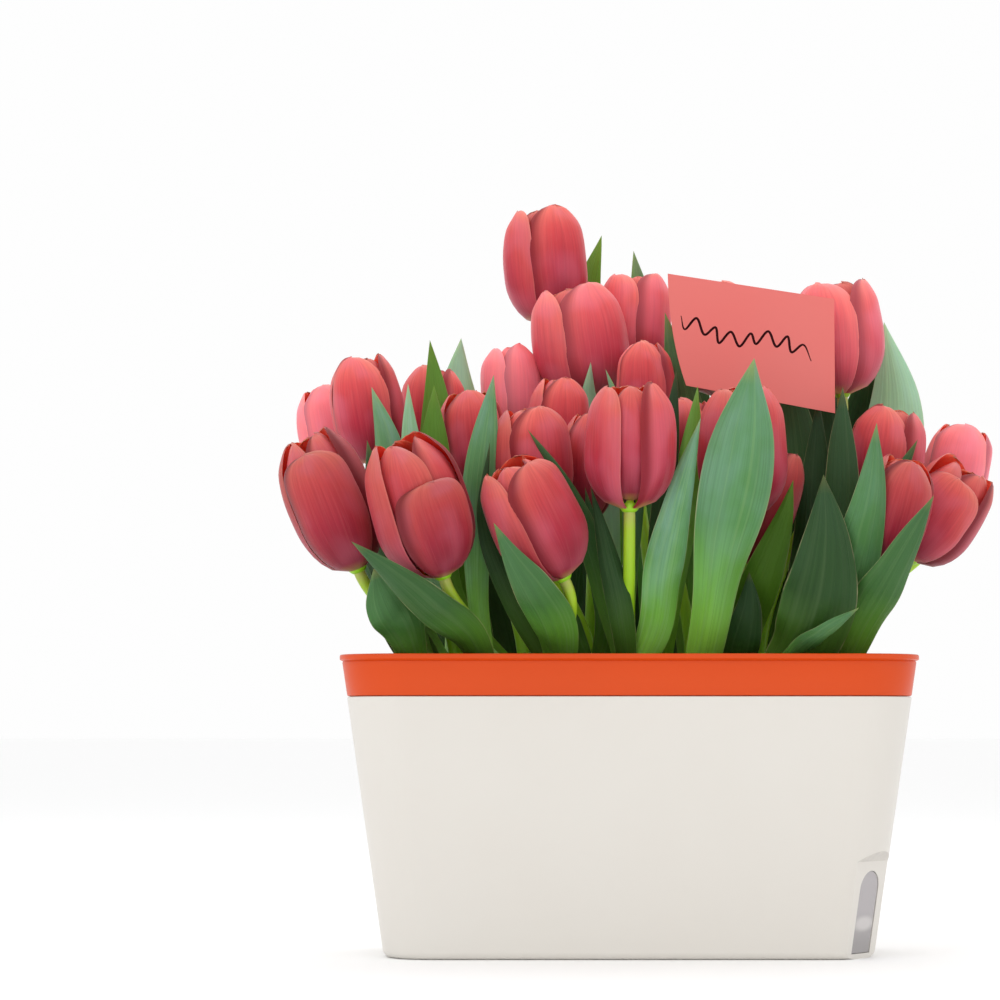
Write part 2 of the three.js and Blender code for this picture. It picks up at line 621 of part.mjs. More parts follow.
function blade(place, shape) {
  const { width, face, rib } = shape;
  const start = place.clone().setZ(SOIL_TOP + LEAF_FOOT);
  const line = new THREE.CatmullRomCurve3(
    [start, ...rib.map((point) => new THREE.Vector3(...point))],
    false,
    'centripetal',
  );
  const turn = THREE.MathUtils.degToRad(face);
  const looks = new THREE.Vector3(Math.sin(turn), -Math.cos(turn), 0);
  const rows = [];
  for (let row = 1; row <= BLADE_ROWS; row += 1) {
    const share = row / (BLADE_ROWS + 1);
    const middle = line.getPointAt(share);
    const tangent = line.getTangentAt(share);
    const across = new THREE.Vector3().crossVectors(tangent, looks).normalize();
    const outward = new THREE.Vector3().crossVectors(across, tangent);
    const half = (width / 2) * bladeWidth(shape, share);
    const wave = half * BLADE_WAVE * (row % 2 ? 1 : -1);
    const at = (sideways, lift) => middle.clone()
      .addScaledVector(across, sideways)
      .addScaledVector(outward, lift);
    const left = at(-half, wave - half * BLADE_FOLD);
    const right = at(half, -wave - half * BLADE_FOLD);
    rows.push([0.5, -0.5].map((side) => [left, at(0, side * BLADE_THICK), right]));
  }
  return solid(sheet(line.getPointAt(0), rows, line.getPointAt(1)));
}

const soilHoles = [];
let number = 0;
ROWS.forEach((row, rowNumber) => row.forEach((plant, n) => {
  number += 1;
  const label = String(number).padStart(2, '0');
  const place = seat(rowNumber, n);
  const head = piece(`bloom_${label}`, bloom(plant), petalCoral);
  head.position.copy(bloomBase(plant));
  head.quaternion.copy(bloomTurn(plant));
  const leaves = plant.leaves.map((each) => blade(place, each));
  const green = join([solid(stem(plant, place)), solid(bulb(place)), ...leaves]);
  piece(`leafy_stem_${label}`, geometryOf(green), leafGreen);
  const pocket = turned([
    [0, BULB_FOOT - GAP],
    [BULB_RADIUS + HOLE_SLACK, BULB_FOOT - GAP],
    [BULB_RADIUS + HOLE_SLACK, BULB_FOOT + BULB_RADIUS],
    [STEM_RADIUS + HOLE_SLACK, SOIL_TOP + GAP],
    [0, SOIL_TOP + GAP],
  ], 6);
  soilHoles.push(solid(pocket.translate(place.x, place.y, 0)));
}));

// ---- soil, in the basket and in both legs ----
const SOIL_INSET = BASKET_INSET + LINER_WALL + GAP;
const SOIL_FOOT = LINER_FLOOR + LINER_WALL + GAP;
const soilBlock = solid(loft([potRing(SOIL_FOOT, SOIL_INSET), potRing(SOIL_TOP, SOIL_INSET)]));
const soilLegs = onBothLegs(
  legCone(LEG_WALL + GAP, LEG_FOOT + LEG_WALL + GAP, SOIL_FOOT + RIM_ROUNDING),
);

function pickRod(radius) {
  const height = PICK.high - PICK.low;
  return new THREE.CylinderGeometry(radius, radius, height, 6)
    .rotateX(Math.PI / 2)
    .translate(PICK.x, PICK.y, PICK.low + height / 2);
}

const soil = soilBlock
  .add(soilLegs)
  .subtract(join(soilHoles))
  .subtract(solid(pickRod(PICK.radius + GAP)));
piece('soil', geometryOf(soil), soilBrown);

// ---- card, with one curved edge, and the pick behind it ----
const outline = new THREE.Shape();
outline.moveTo(...CARD.bottomLeft);
outline.lineTo(...CARD.bottomRight);
outline.lineTo(...CARD.topRight);
outline.lineTo(...CARD.topLeft);
outline.quadraticCurveTo(...CARD.curl, ...CARD.bottomLeft);
const cardBlank = { depth: CARD_THICK, bevelEnabled: false, curveSegments: 3 };
const card = new THREE.ExtrudeGeometry(outline, cardBlank);
card.rotateX(Math.PI / 2).translate(0, PICK.y - PICK.radius - GAP, 0);
piece('card', card, cardCoral);
piece('card_pick', pickRod(PICK.radius), pickWood);

model.updateMatrixWorld(true);
export default model;
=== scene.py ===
"""Tulips growing in a rectangular self-watering planter, with a small card among the flowers.

Shapes are worked out in millimetres, in the frame's own axes, and turned to metres as each piece
is finished. X runs along the planter's long side, -Y is its front and +Z is up.
"""

import math
import random

import bmesh
import bpy
from mathutils import Matrix, Vector, noise


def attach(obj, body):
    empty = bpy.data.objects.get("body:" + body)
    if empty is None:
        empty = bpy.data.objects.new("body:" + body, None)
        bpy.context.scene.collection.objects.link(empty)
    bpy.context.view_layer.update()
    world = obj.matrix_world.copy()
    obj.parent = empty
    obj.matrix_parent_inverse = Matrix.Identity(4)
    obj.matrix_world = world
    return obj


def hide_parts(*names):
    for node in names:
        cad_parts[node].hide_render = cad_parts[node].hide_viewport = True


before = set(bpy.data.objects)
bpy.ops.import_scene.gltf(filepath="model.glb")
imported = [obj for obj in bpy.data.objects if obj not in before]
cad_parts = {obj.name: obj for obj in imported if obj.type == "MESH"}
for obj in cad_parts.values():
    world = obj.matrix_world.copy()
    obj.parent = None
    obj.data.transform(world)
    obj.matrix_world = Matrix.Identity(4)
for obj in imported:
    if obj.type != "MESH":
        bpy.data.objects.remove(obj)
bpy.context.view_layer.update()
MM = 0.001

# ---- camera ----
CAMERA_PLACE = (-65.8, -1675, 115.6)
CAMERA_RISE = 4.11  # degrees that it looks above level
LENS = 115.2

camera_data = bpy.data.cameras.new("camera")
camera_data.sensor_width = 36
camera_data.lens = LENS
camera = bpy.data.objects.new("camera", camera_data)
camera.location = Vector(CAMERA_PLACE) * MM
camera.rotation_euler = (math.radians(90 + CAMERA_RISE), 0, 0)
bpy.context.collection.objects.link(camera)
bpy.context.scene.camera = camera

# ---- driving dimensions, in mm and degrees, as the frame has them ----
POT_HEIGHT = 132.5
POT_FOOT = (125.2, 53)  # half length and half depth at the foot
POT_FLARE = 18.5  # how far each side leans out from foot to rim
POT_WALL = 3
POT_FLOOR = 3
FOOT_ROUNDING = 4
RIM_ROUNDING = 1
CORNER_FOOT = 25  # radius of the upright corners at the foot, and at the rim
CORNER_RIM = 29
GAP = 0.3  # air between pieces that touch in use

RIM_TOP = 153.8
BAND_FLARE = 2.6
LIP = 1.2  # how far the rolled lip stands out of the band
LIP_HEIGHT = 2.9
LINER_WALL = 2.5
LINER_FLOOR = 60
BASKET_INSET = POT_WALL + 1
LEG_X = 62
LEG_RADIUS = (15, 19)  # at its foot and at its top
LEG_WALL = 2
SLOT = (2.4, 16, 17.3)  # width, height and the height of its middle

SOIL_TOP = 134
SEAT_PITCH = 35.3  # between two plants of a row
ROW_PITCH = 27
BULB_FOOT = 84
STEM_RADIUS = 3.2
NECK = 6  # how far a stem shows above the soil before it bends
LEAF_FOOT = 4  # height above the soil at which a leaf leaves its stem

BLADE_THICK = 1.1
PETAL_THICK = 1.0
PETAL_SPREAD = 58  # half the angle that a petal spans, where its plant doesn't say otherwise

# the recess is a flat face across the front right corner that leans out as it rises, under a
# step that slopes out to the pot's own face
RECESS_TOP = 50
RECESS_TURN = 35.3
RECESS_SLOPE = 9.5
RECESS_FOOT = (108.6, -51.5)
RECESS_LEDGE = 23  # rise of the step over the cutter's reach
RECESS_RUN = (-12, 60)
CUTTER_REACH = 20
CUTTER_LOW = -8
BACKING_RISE = 7  # the wall behind the recess goes this much higher
WINDOW_WIDTH = 19
WINDOW_HEIGHT = 42.5
WINDOW_LOW = 2.6
WINDOW_THICK = 1.4
WINDOW_ALONG = 13.6  # from the recess face's foot point to the window's middle
WINDOW_SET_BACK = 0.4
FLOAT_SET_BACK = 9

CARD = ((32.5, 297), (111, 282.3), (111, 343), (23, 356.5))  # from its lower left corner round
CARD_CURL = (23.5, 323)  # where the bowed left edge is drawn to
CARD_THICK = 0.8
PICK = (54, 8)
PICK_RADIUS = 1.2
PICK_ENDS = (96, 340)

# ---- plants ----
# tulip: the middle of the bloom; its length, its radius, the share of its length that its leading
# outer petal reaches and half the angle a petal spans; how far its tip leans to the right and to
# the front, in degrees; how open it is, from 0 to 1; the way that its leading petal looks, in
# degrees round from the front to the right; and its leaves.
# leaf: its greatest width; the way its outer face looks; then its midrib's points from above
# the soil to the tip. A broad-topped leaf keeps narrow low down and is widest far up.


def tulip(middle, size, lean, open, turn, leaves):
    length, radius, lead, spread = (*size, PETAL_SPREAD)[:4]
    return {"middle": Vector(middle), "length": length, "radius": radius, "lead": lead,
            "spread": spread, "lean": lean, "open": open, "turn": turn, "leaves": leaves}


def leaf(width, face, *rib, belly=0.42, waist=1):
    return {"width": width, "face": face, "rib": [Vector(point) for point in rib],
            "belly": belly, "waist": waist}


def broad_topped(width, face, *rib):
    return leaf(width, face, *rib, belly=0.64, waist=2.5)


ROWS = [
  [
    tulip([-151, -62, 230], [76, 22, 0.88], [-22, 9], 0.35, -10, [
      leaf(20, -40, [-120, -48, 169], [-129, -44, 182], [-134, -40, 192]),
      broad_topped(26, 0, [-113, -60, 163], [-122, -71, 180], [-129, -76, 196]),
      leaf(18, -90, [-120, -32, 160], [-130, -29, 182], [-145, -28, 210]),
      broad_topped(14, 0, [-117, -40, 190], [-128, -40, 230], [-134, -40, 264]),
    ]),
    tulip([-105, -88, 226], [76, 25, 0.68], [-18, 12], 0.3, 20, [
      leaf(21, -20, [-82, -64, 161], [-100, -88, 176], [-120, -104, 193], [-139, -106, 208]),
      broad_topped(18, 0, [-77, -47, 182], [-77, -52, 222], [-74, -56, 260], [-69, -54, 296]),
    ]),
    tulip([-48, -82, 220], [68, 23, 0.94], [-26, 11], 0.35, 38, [
      leaf(23, -10, [-38, -66, 165], [-49, -92, 184], [-61, -108, 202], [-69, -110, 217]),
      leaf(10, 0, [-60, -54, 181], [-74, -62, 221], [-71, -62, 261]),
    ]),
    tulip([-1, -80, 257], [66, 23, 1, 42], [0, 6], 0.42, 60, [
      leaf(20, 10, [13, -52, 166], [17, -66, 196], [25, -78, 235], [35, -76, 272]),
      leaf(13, 0, [-11, -40, 182], [-22, -50, 217], [-36, -62, 244], [-52, -68, 267]),
      leaf(13, 0, [-4, -58, 171], [-11.5, -64, 204], [-20, -66, 238]),
    ]),
    tulip([58, -45, 257], [70, 23, 1], [0, 5], 0.35, 60, [
      broad_topped(37, 5, [41, -58, 171], [46, -74, 206], [54, -82, 245], [62, -76, 302]),
    ]),
    tulip([133, -55, 225], [60, 19, 1], [15, 12], 0.3, 10, [
      leaf(38, 0, [87, -62, 158], [94, -80, 180], [97, -84, 210], [96, -80, 243]),
      leaf(12, 20, [86, -62, 156], [98, -82, 166], [112, -92, 176]),
    ]),
    tulip([162, -24, 227], [60, 21, 0.84], [34, 8], 0.6, -15, [
      leaf(23, 15, [114, -56, 161], [122, -70, 178], [133, -86, 200], [150, -88, 232]),
      leaf(25, 5, [107, -60, 171], [113, -72, 201], [120, -80, 235], [124, -70, 270]),
    ]),
  ],
  [
    tulip([-135, -10, 282], [60, 19, 1], [-9, 8], 0.4, -20, [
      broad_topped(20, -10, [-113, -22, 183], [-120, -30, 234], [-124, -34, 264], [-132, -34, 292]),
      leaf(18, -80, [-106, -12, 160], [-122, -8, 186], [-132, -6, 216]),
    ]),
    tulip([-80, -5, 266], [56, 18, 1], [-5, 4], 0.3, 0, [
      broad_topped(22, 0, [-91, -24, 183], [-100, -22, 235], [-100, -24, 271], [-100, -24, 294]),
      broad_topped(15, 0, [-97, -30, 183], [-108, -41, 234], [-112, -44, 270], [-113, -42, 293]),
    ]),
    tulip([-49, -44, 252], [60, 21, 1], [-3, 8], 0.35, 25, [
      leaf(14, 0, [-10, -26, 172], [-16, -30, 206], [-22, -34, 240]),
      leaf(16, 0, [-30, -24, 165], [-38, -26, 190], [-42, -28, 215]),
    ]),
    tulip([33, 3, 262], [56, 18, 1], [0, 4], 0.3, -30, [
      broad_topped(12, 0, [13, -24, 183], [20, -24, 245], [26, -22, 303]),
      broad_topped(15, 0, [24, -20, 183], [32, -20, 245], [37, -20, 294]),
    ]),
    tulip([71, -3, 232], [66, 18.5, 1], [19, 6], 0.5, 50, [
      leaf(21, 0, [61, -28, 172], [70, -40, 197], [79, -46, 223], [84, -46, 243]),
      leaf(20, 0, [57, -38, 158], [61, -45, 178], [61, -48, 196]),
    ]),
    tulip([138, 10, 259], [56, 21, 1], [8, 5], 0.3, -40, [
      broad_topped(18, 0, [104, -22, 183], [111, -24, 234], [112, -20, 271], [113, -14, 294]),
      leaf(24, 0, [92, -4, 170], [100, 8, 210], [102, 14, 255], [103, 12, 292]),
      broad_topped(14, 0, [106, -18, 175], [124, -22, 210], [139, -22, 243], [151, -21, 266]),
    ]),
  ],
  [
    tulip([-156, 30, 272], [56, 17, 1], [-12, 0], 0.3, 10, [
      leaf(18, -120, [-130, 24, 174], [-142, 44, 217], [-150, 56, 256]),
      leaf(18, -90, [-118, 14, 160], [-134, 14, 192], [-150, 12, 230]),
    ]),
    tulip([-102, 38, 281], [60, 18, 1], [0, 0], 0.3, -40, [
      broad_topped(20, 0, [-90, 8, 205], [-98, 8, 258], [-100, 10, 295], [-103, 12, 322]),
      leaf(20, 180, [-80, 26, 170], [-86, 36, 205], [-88, 40, 232]),
    ]),
    tulip([-35, 15, 275], [56, 17, 1], [3, 4], 0.3, 20, [
      leaf(14, 180, [-46, 24, 180], [-52, 28, 230], [-54, 30, 280]),
    ]),
    tulip([-20, -16, 252], [58, 14, 1], [0, 4], 0.2, 0, [
      broad_topped(19, 0, [-8, 32, 206], [-13, 43, 260], [-18, 41, 292], [-17, 36, 313]),
      broad_topped(12, 0, [3, 14, 200], [4, 8, 250], [-4, 6, 288], [-10, 8, 306]),
    ]),
    tulip([12, 22, 297], [52, 15.5, 1], [-2, 4], 0.15, -20, [
      broad_topped(24, 0, [31, 20, 206], [34, 32, 270], [29, 38, 313], [23, 37, 340]),
      leaf(18, 180, [31, 26, 170], [38, 34, 205], [42, 34, 240]),
    ]),
    tulip([116.5, 40, 326], [64, 24.2, 1], [-4, 2], 0.6, 78, [
      broad_topped(30, 0, [89, 24, 185], [92, 28, 238], [90, 31, 280], [86, 34, 318]),
      leaf(20, 60, [90, 20, 170], [104, 26, 205], [112, 26, 240]),
    ]),
    tulip([180, 45, 255], [50, 18, 1], [13, 0], 0.5, -10, [
      broad_topped(18, 0, [140, 24, 206], [154, 29, 243], [156, 32, 269]),
      leaf(20, 90, [120, 18, 160], [134, 20, 185], [144, 24, 212]),
      leaf(20, 150, [112, 26, 170], [128, 44, 205], [140, 56, 238]),
    ]),
  ],
  [
    tulip([-59, 64, 298], [56, 17, 1], [-3, -8], 0.3, 45, [
      broad_topped(32, 0, [-85, 56, 229], [-88, 62, 272], [-89, 63, 304], [-87, 61, 329]),
      leaf(22, -160, [-98, 60, 170], [-112, 84, 205], [-118, 98, 240]),
    ]),
    tulip([-40, 97, 373], [68, 23, 1], [-4, -2], 0.5, 35, [
      leaf(26, 180, [-65, 60, 195], [-66, 82, 250], [-63, 96, 300]),
      leaf(20, 180, [-46, 62, 170], [-42, 88, 205], [-38, 104, 245]),
    ]),
    tulip([-21.5, 62, 326], [66, 26.5, 1], [-8, 5], 0.45, 35, [
      broad_topped(32, 180, [-10, 62, 190], [-7, 90, 250], [-15, 116, 310], [-18, 126, 354],
                   [-8, 128, 396]),
      leaf(26, 180, [-21, 58, 165], [-20, 80, 195], [-20, 94, 230]),
    ]),
    tulip([9, 98, 339], [62, 20, 1], [3, -8], 0.6, 60, [
      broad_topped(30, 180, [17, 92, 260], [17, 127, 334], [10, 127, 387]),
      leaf(28, 180, [14, 60, 170], [16, 84, 215], [22, 100, 258]),
    ]),
    tulip([54, 52, 326], [64, 22, 1], [0, 0], 0.3, 0, [
      leaf(26, 180, [48, 64, 190], [47, 88, 240], [47, 104, 290], [48, 108, 325]),
      leaf(20, 170, [60, 60, 168], [68, 84, 200], [72, 98, 236]),
    ]),
    tulip([85, 88, 319], [60, 20, 1], [5, -8], 0.3, 30, [
      broad_topped(37, 10, [133, 58, 208], [148, 66, 257], [152, 70, 296], [145, 70, 339]),
      broad_topped(38, 165, [97, 66, 180], [117, 82, 230], [133, 86, 275], [140, 86, 322]),
      broad_topped(34, 0, [100, 52, 190], [107, 58, 240], [111, 64, 280], [110, 66, 318]),
    ]),
  ],
]


def seat(row, n):
    """Where the nth plant of a row stands in the soil. The rows are centred in the planter."""
    x = (n - (len(ROWS[row]) - 1) / 2) * SEAT_PITCH
    return Vector((x, (row - (len(ROWS) - 1) / 2) * ROW_PITCH, SOIL_TOP))


def bloom_axis(plant):
    right, front = (math.tan(math.radians(angle)) for angle in plant["lean"])
    return Vector((right, -front, 1)).normalized()


def bloom_base(plant):
    return plant["middle"] - bloom_axis(plant) * plant["length"] / 2


# ---- mesh making ----
MERGE = 0.004


def grid(bm, columns, rows, place, slot=0, tone=0.0, flip=False):
    """A sheet of quads. place(across, along) puts each corner; across runs from -1 to 1."""
    uv = bm.loops.layers.uv.get("UVMap") or bm.loops.layers.uv.new("UVMap")
    tones = bm.verts.layers.float.get("tone") or bm.verts.layers.float.new("tone")
    made = bmesh.ops.create_grid(bm, x_segments=columns, y_segments=rows, size=1)["verts"]
    spots = {vert: (vert.co.x, (vert.co.y + 1) / 2) for vert in made}
    faces = {face for vert in made for face in vert.link_faces}
    for face in faces:
        face.smooth = True
        face.material_index = slot
        for loop in face.loops:
            across, along = spots[loop.vert]
            loop[uv].uv = ((across + 1) / 2, along)
    for vert, (across, along) in spots.items():
        vert.co = place(across, along)
        vert[tones] = tone
    if flip:
        bmesh.ops.reverse_faces(bm, faces=list(faces))
    return made


def merge(bm, verts):
    bmesh.ops.remove_doubles(bm, verts=[vert for vert in verts if vert.is_valid], dist=MERGE)


def sheet(bm, columns, rows, place, slots, tone):
    """A thin closed sheet whose outer and inner faces meet at its rims.

    place(across, along, side) is the outer face for side 1 and the inner face for side -1."""
    before = set(bm.verts)
    for side, slot in ((1, slots[0]), (-1, slots[1])):
        grid(bm, columns, rows, lambda a, s: place(a, s, side), slot, tone, flip=side < 0)
    merge(bm, [vert for vert in bm.verts if vert not in before])
    rim = {edge for vert in bm.verts if vert not in before for edge in vert.link_edges}
    for edge in rim:
        if len({face.material_index for face in edge.link_faces}) > 1:
            edge.smooth = False


def ring_tube(bm, columns, rows, place, slot=0, tone=0.0):
    """A closed tube: place(turn, along), with turn from 0 to 1 round the tube."""
    made = grid(bm, columns, rows, lambda a, s: place(((a + 1) / 2) % 1.0, s), slot, tone)
    merge(bm, made)
    return made


def turned(bm, profile, sides, centre, slot=0):
    """A body of revolution about +Z, from radii and heights, low end first."""
    def place(turn, along):
        radius, height = profile[round(along * (len(profile) - 1))]
        angle = 2 * math.pi * turn
        return centre + Vector((radius * math.cos(angle), radius * math.sin(angle), height))
    return ring_tube(bm, sides, len(profile) - 1, place, slot)


def sharpen(bm, angle):
    """Leaves the shading crisp at edges with more than an angle, in degrees."""
    for edge in bm.edges:
        if len(edge.link_faces) == 2 and edge.calc_face_angle(0) > math.radians(angle):
            edge.smooth = False


def finished(name, bm, materials, nodes):
    """Turns a bmesh in millimetres into a piece in metres that stands for CAD nodes."""
    bmesh.ops.scale(bm, vec=(MM, MM, MM), verts=bm.verts)
    mesh = bpy.data.meshes.new(name)
    bm.to_mesh(mesh)
    bm.free()
    piece = bpy.data.objects.new(name, mesh)
    bpy.context.collection.objects.link(piece)
    for material in materials:
        mesh.materials.append(material)
    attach(piece, "root")
    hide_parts(*nodes)


# ---- curves ----
def rib_curve(points, steps):
    """A smooth curve through the given points, as a finer row of points."""
    first = points[0] * 2 - points[1]
    last = points[-1] * 2 - points[-2]
    padded = [first, *points, last]
    fine = []
    for a, b, c, d in zip(padded, padded[1:], padded[2:], padded[3:]):
        ab, bc, cd = (max((q - p).length ** 0.5, 1e-4) for p, q in ((a, b), (b, c), (c, d)))
        leave = ((b - a) / ab - (c - a) / (ab + bc) + (c - b) / bc) * bc
        arrive = ((c - b) / bc - (d - b) / (bc + cd) + (d - c) / cd) * bc
        for step in range(steps):
            t = step / steps
            fine.append(b + leave * t + (c * 3 - b * 3 - leave * 2 - arrive) * t * t
                        + (b * 2 - c * 2 + leave + arrive) * t ** 3)
    fine.append(points[-1])
    return fine


def by_length(points):
    """A function from a share of a polyline's length to its point and its direction."""
    reach = [0.0]
    for a, b in zip(points, points[1:]):
        reach.append(reach[-1] + (b - a).length)

    def at(share):
        target = min(max(share, 0.0), 1.0) * reach[-1]
        low, high = 0, len(points) - 1
        while high - low > 1:
            middle = (low + high) // 2
            if reach[middle] <= target:
                low = middle
            else:
                high = middle
        span = reach[high] - reach[low]
        mix = (target - reach[low]) / span if span else 0
        return points[low].lerp(points[high], mix)

    def place_and_way(share):
        ahead = at(min(share + 0.01, 1.0)) - at(max(share - 0.01, 0.0))
        return at(share), ahead.normalized()
    return place_and_way


def between_limits(value, low, high):
    """A value's place between two limits, from 0 to 1."""
    return min(max((value - low) / (high - low), 0.0), 1.0)


def ease(low, high, value):
    """The same, with a soft start and end."""
    share = between_limits(value, low, high)
    return share * share * (3 - 2 * share)


# ---- materials ----
# Petals, leaves and stems read their own UV map, across and along the sheet, and a tone that
# differs from sheet to sheet. Everything else reads Object coordinates. The finest lines on
# petals and leaves are drawn 0.5 mm apart, since closer ones are too fine to show.
PETAL_SIZE = (45.9, 64)  # width and length, in mm, that the pattern of a petal is spaced for
LEAF_SIZE = (23, 130)
STEM_SIZE = (20, 200)  # round the stem and along it
CLOUD_MM = 71.4  # width of the clouds of colour on plain surfaces
STEP_SHADE_BLOT_MM = 3.125  # width of the blots in the painted shade on the step over the recess
FLOAT_SHOWS_AT = 18  # height of the painted pale blot of light where the float's head shows through the window
YELLOWER = 2  # is added to the tone of a leaf that is more yellow than the others
SMOOTH = {"interpolation_type": "SMOOTHSTEP"}
COLOURS = {"data_type": "RGBA"}


def linear(hex_colour):
    """An sRGB hex colour as linear values."""
    channels = (int(hex_colour[i:i + 2], 16) / 255 for i in (1, 3, 5))
    return (*(c / 12.92 if c <= 0.04045 else ((c + 0.055) / 1.055) ** 2.4 for c in channels), 1.0)


def set_stops(band, stops):
    """Fills a colour ramp from places and hex colours."""
    while len(band) < len(stops):
        band.new(0.5)
    for element, (place, colour) in zip(band, stops):
        element.position = place
        element.color = linear(colour)


def add(tree, kind, settings=None, inputs=(), output=0):
    """Adds a node with its settings, gives its inputs values or links, and returns an output."""
    made = tree.nodes.new(kind)
    for name, value in (settings or {}).items():
        if name == "stops":
            set_stops(made.color_ramp.elements, value)
        else:
            setattr(made, name, value)
    for key, value in inputs.items() if isinstance(inputs, dict) else enumerate(inputs):
        if isinstance(value, bpy.types.NodeSocket):
            tree.links.new(value, made.inputs[key])
        else:
            made.inputs[key].default_value = value
    return made.outputs[output]


def new_material(name, **inputs):
    made = bpy.data.materials.new(name)
    made.use_nodes = True
    shader = made.node_tree.nodes["Principled BSDF"]
    for key, value in inputs.items():
        shader.inputs[key.replace("_", " ")].default_value = value
    return made, made.node_tree, shader


def lay(tree, under, paint, value, limits, shares, smooth=False):
    """Lays a paint over a colour. Its share goes with the value's place between the limits."""
    under, paint = (linear(c) if isinstance(c, str) else c for c in (under, paint))
    share = add(tree, "ShaderNodeMapRange", SMOOTH if smooth else None, (value, *limits, *shares))
    return add(tree, "ShaderNodeMix", COLOURS, {0: share, 6: under, 7: paint}, 2)


def shade(tree, colour, tone, limits, shares):
    """Darkens or lightens a colour with the tone of its sheet."""
    amount = add(tree, "ShaderNodeMapRange", None, (tone, *limits, *shares))
    grey = add(tree, "ShaderNodeCombineColor", None, (amount, amount, amount))
    return add(tree, "ShaderNodeMix", {**COLOURS, "blend_type": "MULTIPLY"},
               {0: 1.0, 6: colour, 7: grey}, 2)


def read_sheet(tree):
    """Across and along from 0 to 1, the share of the way to the nearest rim, and the tone."""
    uv = add(tree, "ShaderNodeUVMap", {"uv_map": "UVMap"})
    across = add(tree, "ShaderNodeSeparateXYZ", None, (uv,))
    along = across.node.outputs[1]
    centred = add(tree, "ShaderNodeMath", {"operation": "MULTIPLY_ADD"}, (across, 2.0, -1.0))
    rim = add(tree, "ShaderNodeMath", {"operation": "ABSOLUTE"}, (centred,))
    tone = add(tree, "ShaderNodeAttribute", {"attribute_name": "tone"}, (), "Fac")
    return across, along, rim, tone


def streaks(tree, sheet, size, spacing, length, detail=3.0):
    """Lines along a sheet, spaced and long as given in mm, which differ from sheet to sheet."""
    across, along, _, tone = sheet
    times = {"operation": "MULTIPLY"}
    x = add(tree, "ShaderNodeMath", times, (across, size[0] / spacing))
    y = add(tree, "ShaderNodeMath", times, (along, size[1] / length))
    z = add(tree, "ShaderNodeMath", times, (tone, 37.0))  # far apart for any two tones
    vector = add(tree, "ShaderNodeCombineXYZ", None, (x, y, z))
    return add(tree, "ShaderNodeTexNoise", {"noise_dimensions": "3D"},
               {"Vector": vector, "Scale": 1.0, "Detail": detail, "Roughness": 0.6}, "Fac")


def finish_skin(tree, shader, colour, relief=None, strength=0.3, depth=0.5):
    """Gives a skin its colour, linked or as a hex colour, and its relief with a depth in mm."""
    if isinstance(colour, str):
        shader.inputs["Base Color"].default_value = linear(colour)
    else:
        tree.links.new(colour, shader.inputs["Base Color"])
    if relief:
        bump = add(tree, "ShaderNodeBump", None,
                   {"Strength": strength, "Distance": depth * MM, "Height": relief})
        tree.links.new(bump, shader.inputs["Normal"])


def petal_skin():
    """Outside of a tulip petal, a living skin under thin wax.

    It gives a soft satin sheen and lets some red light through. It is rose crimson along its
    middle, coral at its rims and tip and yellow green at its foot, with fine lines along it."""
    made, tree, shader = new_material(
        "petal_outside", Roughness=0.42, IOR=1.36, Specular_IOR_Level=0.3, Sheen_Weight=0.12,
        Sheen_Roughness=0.4, Subsurface_Weight=0.15, Subsurface_Scale=0.004)
    shader.inputs["Subsurface Radius"].default_value = (1.0, 0.25, 0.15)
    shader.inputs["Sheen Tint"].default_value = linear("#ffb9c6")
    sheet = across, along, rim, tone = read_sheet(tree)
    middle = add(tree, "ShaderNodeValToRGB", {"stops": [
        (0.0, "#a8a345"), (0.02, "#b08a4a"), (0.06, "#96263c"), (0.3, "#c03145"),
        (0.6, "#e05053"), (0.85, "#f26f66"), (1.0, "#f88a7a")]}, (along,))
    rims = add(tree, "ShaderNodeValToRGB", {"stops": [
        (0.0, "#a84450"), (0.15, "#d24650"), (0.6, "#f06c62"), (1.0, "#fb9584")]}, (along,))
    lines = streaks(tree, sheet, PETAL_SIZE, 1.35, 40)
    hairs = streaks(tree, sheet, PETAL_SIZE, 0.51, 24.6)
    clouds = streaks(tree, sheet, PETAL_SIZE, 20.9, 24.6, 1.0)
    colour = lay(tree, middle, rims, rim, (0.3, 1.0), (0.0, 0.9), True)
    colour = lay(tree, colour, "#6e1028", lines, (0.38, 0.68), (0.0, 0.192))
    colour = lay(tree, colour, "#f08a86", hairs, (0.5, 0.8), (0.0, 0.16))
    colour = lay(tree, colour, "#e2748a", clouds, (0.42, 0.68), (0.0, 0.36), True)
    colour = lay(tree, colour, "#fa9a84", rim, (0.95, 1.0), (0.0, 0.2), True)
    # painted shade: a dark stripe on the side that the next petal laps over, where that petal shades it
    colour = lay(tree, colour, "#7e0c20", across, (0.06, 0.24), (0.85, 0.0), True)
    colour = lay(tree, colour, "#ee95a2", tone, (0.5, 1.3), (0.0, 0.34))
    colour = shade(tree, colour, tone, (-0.4, 1.0), (0.42, 1.25))
    finish_skin(tree, shader, colour, lines, 0.3, 0.5)
    return made


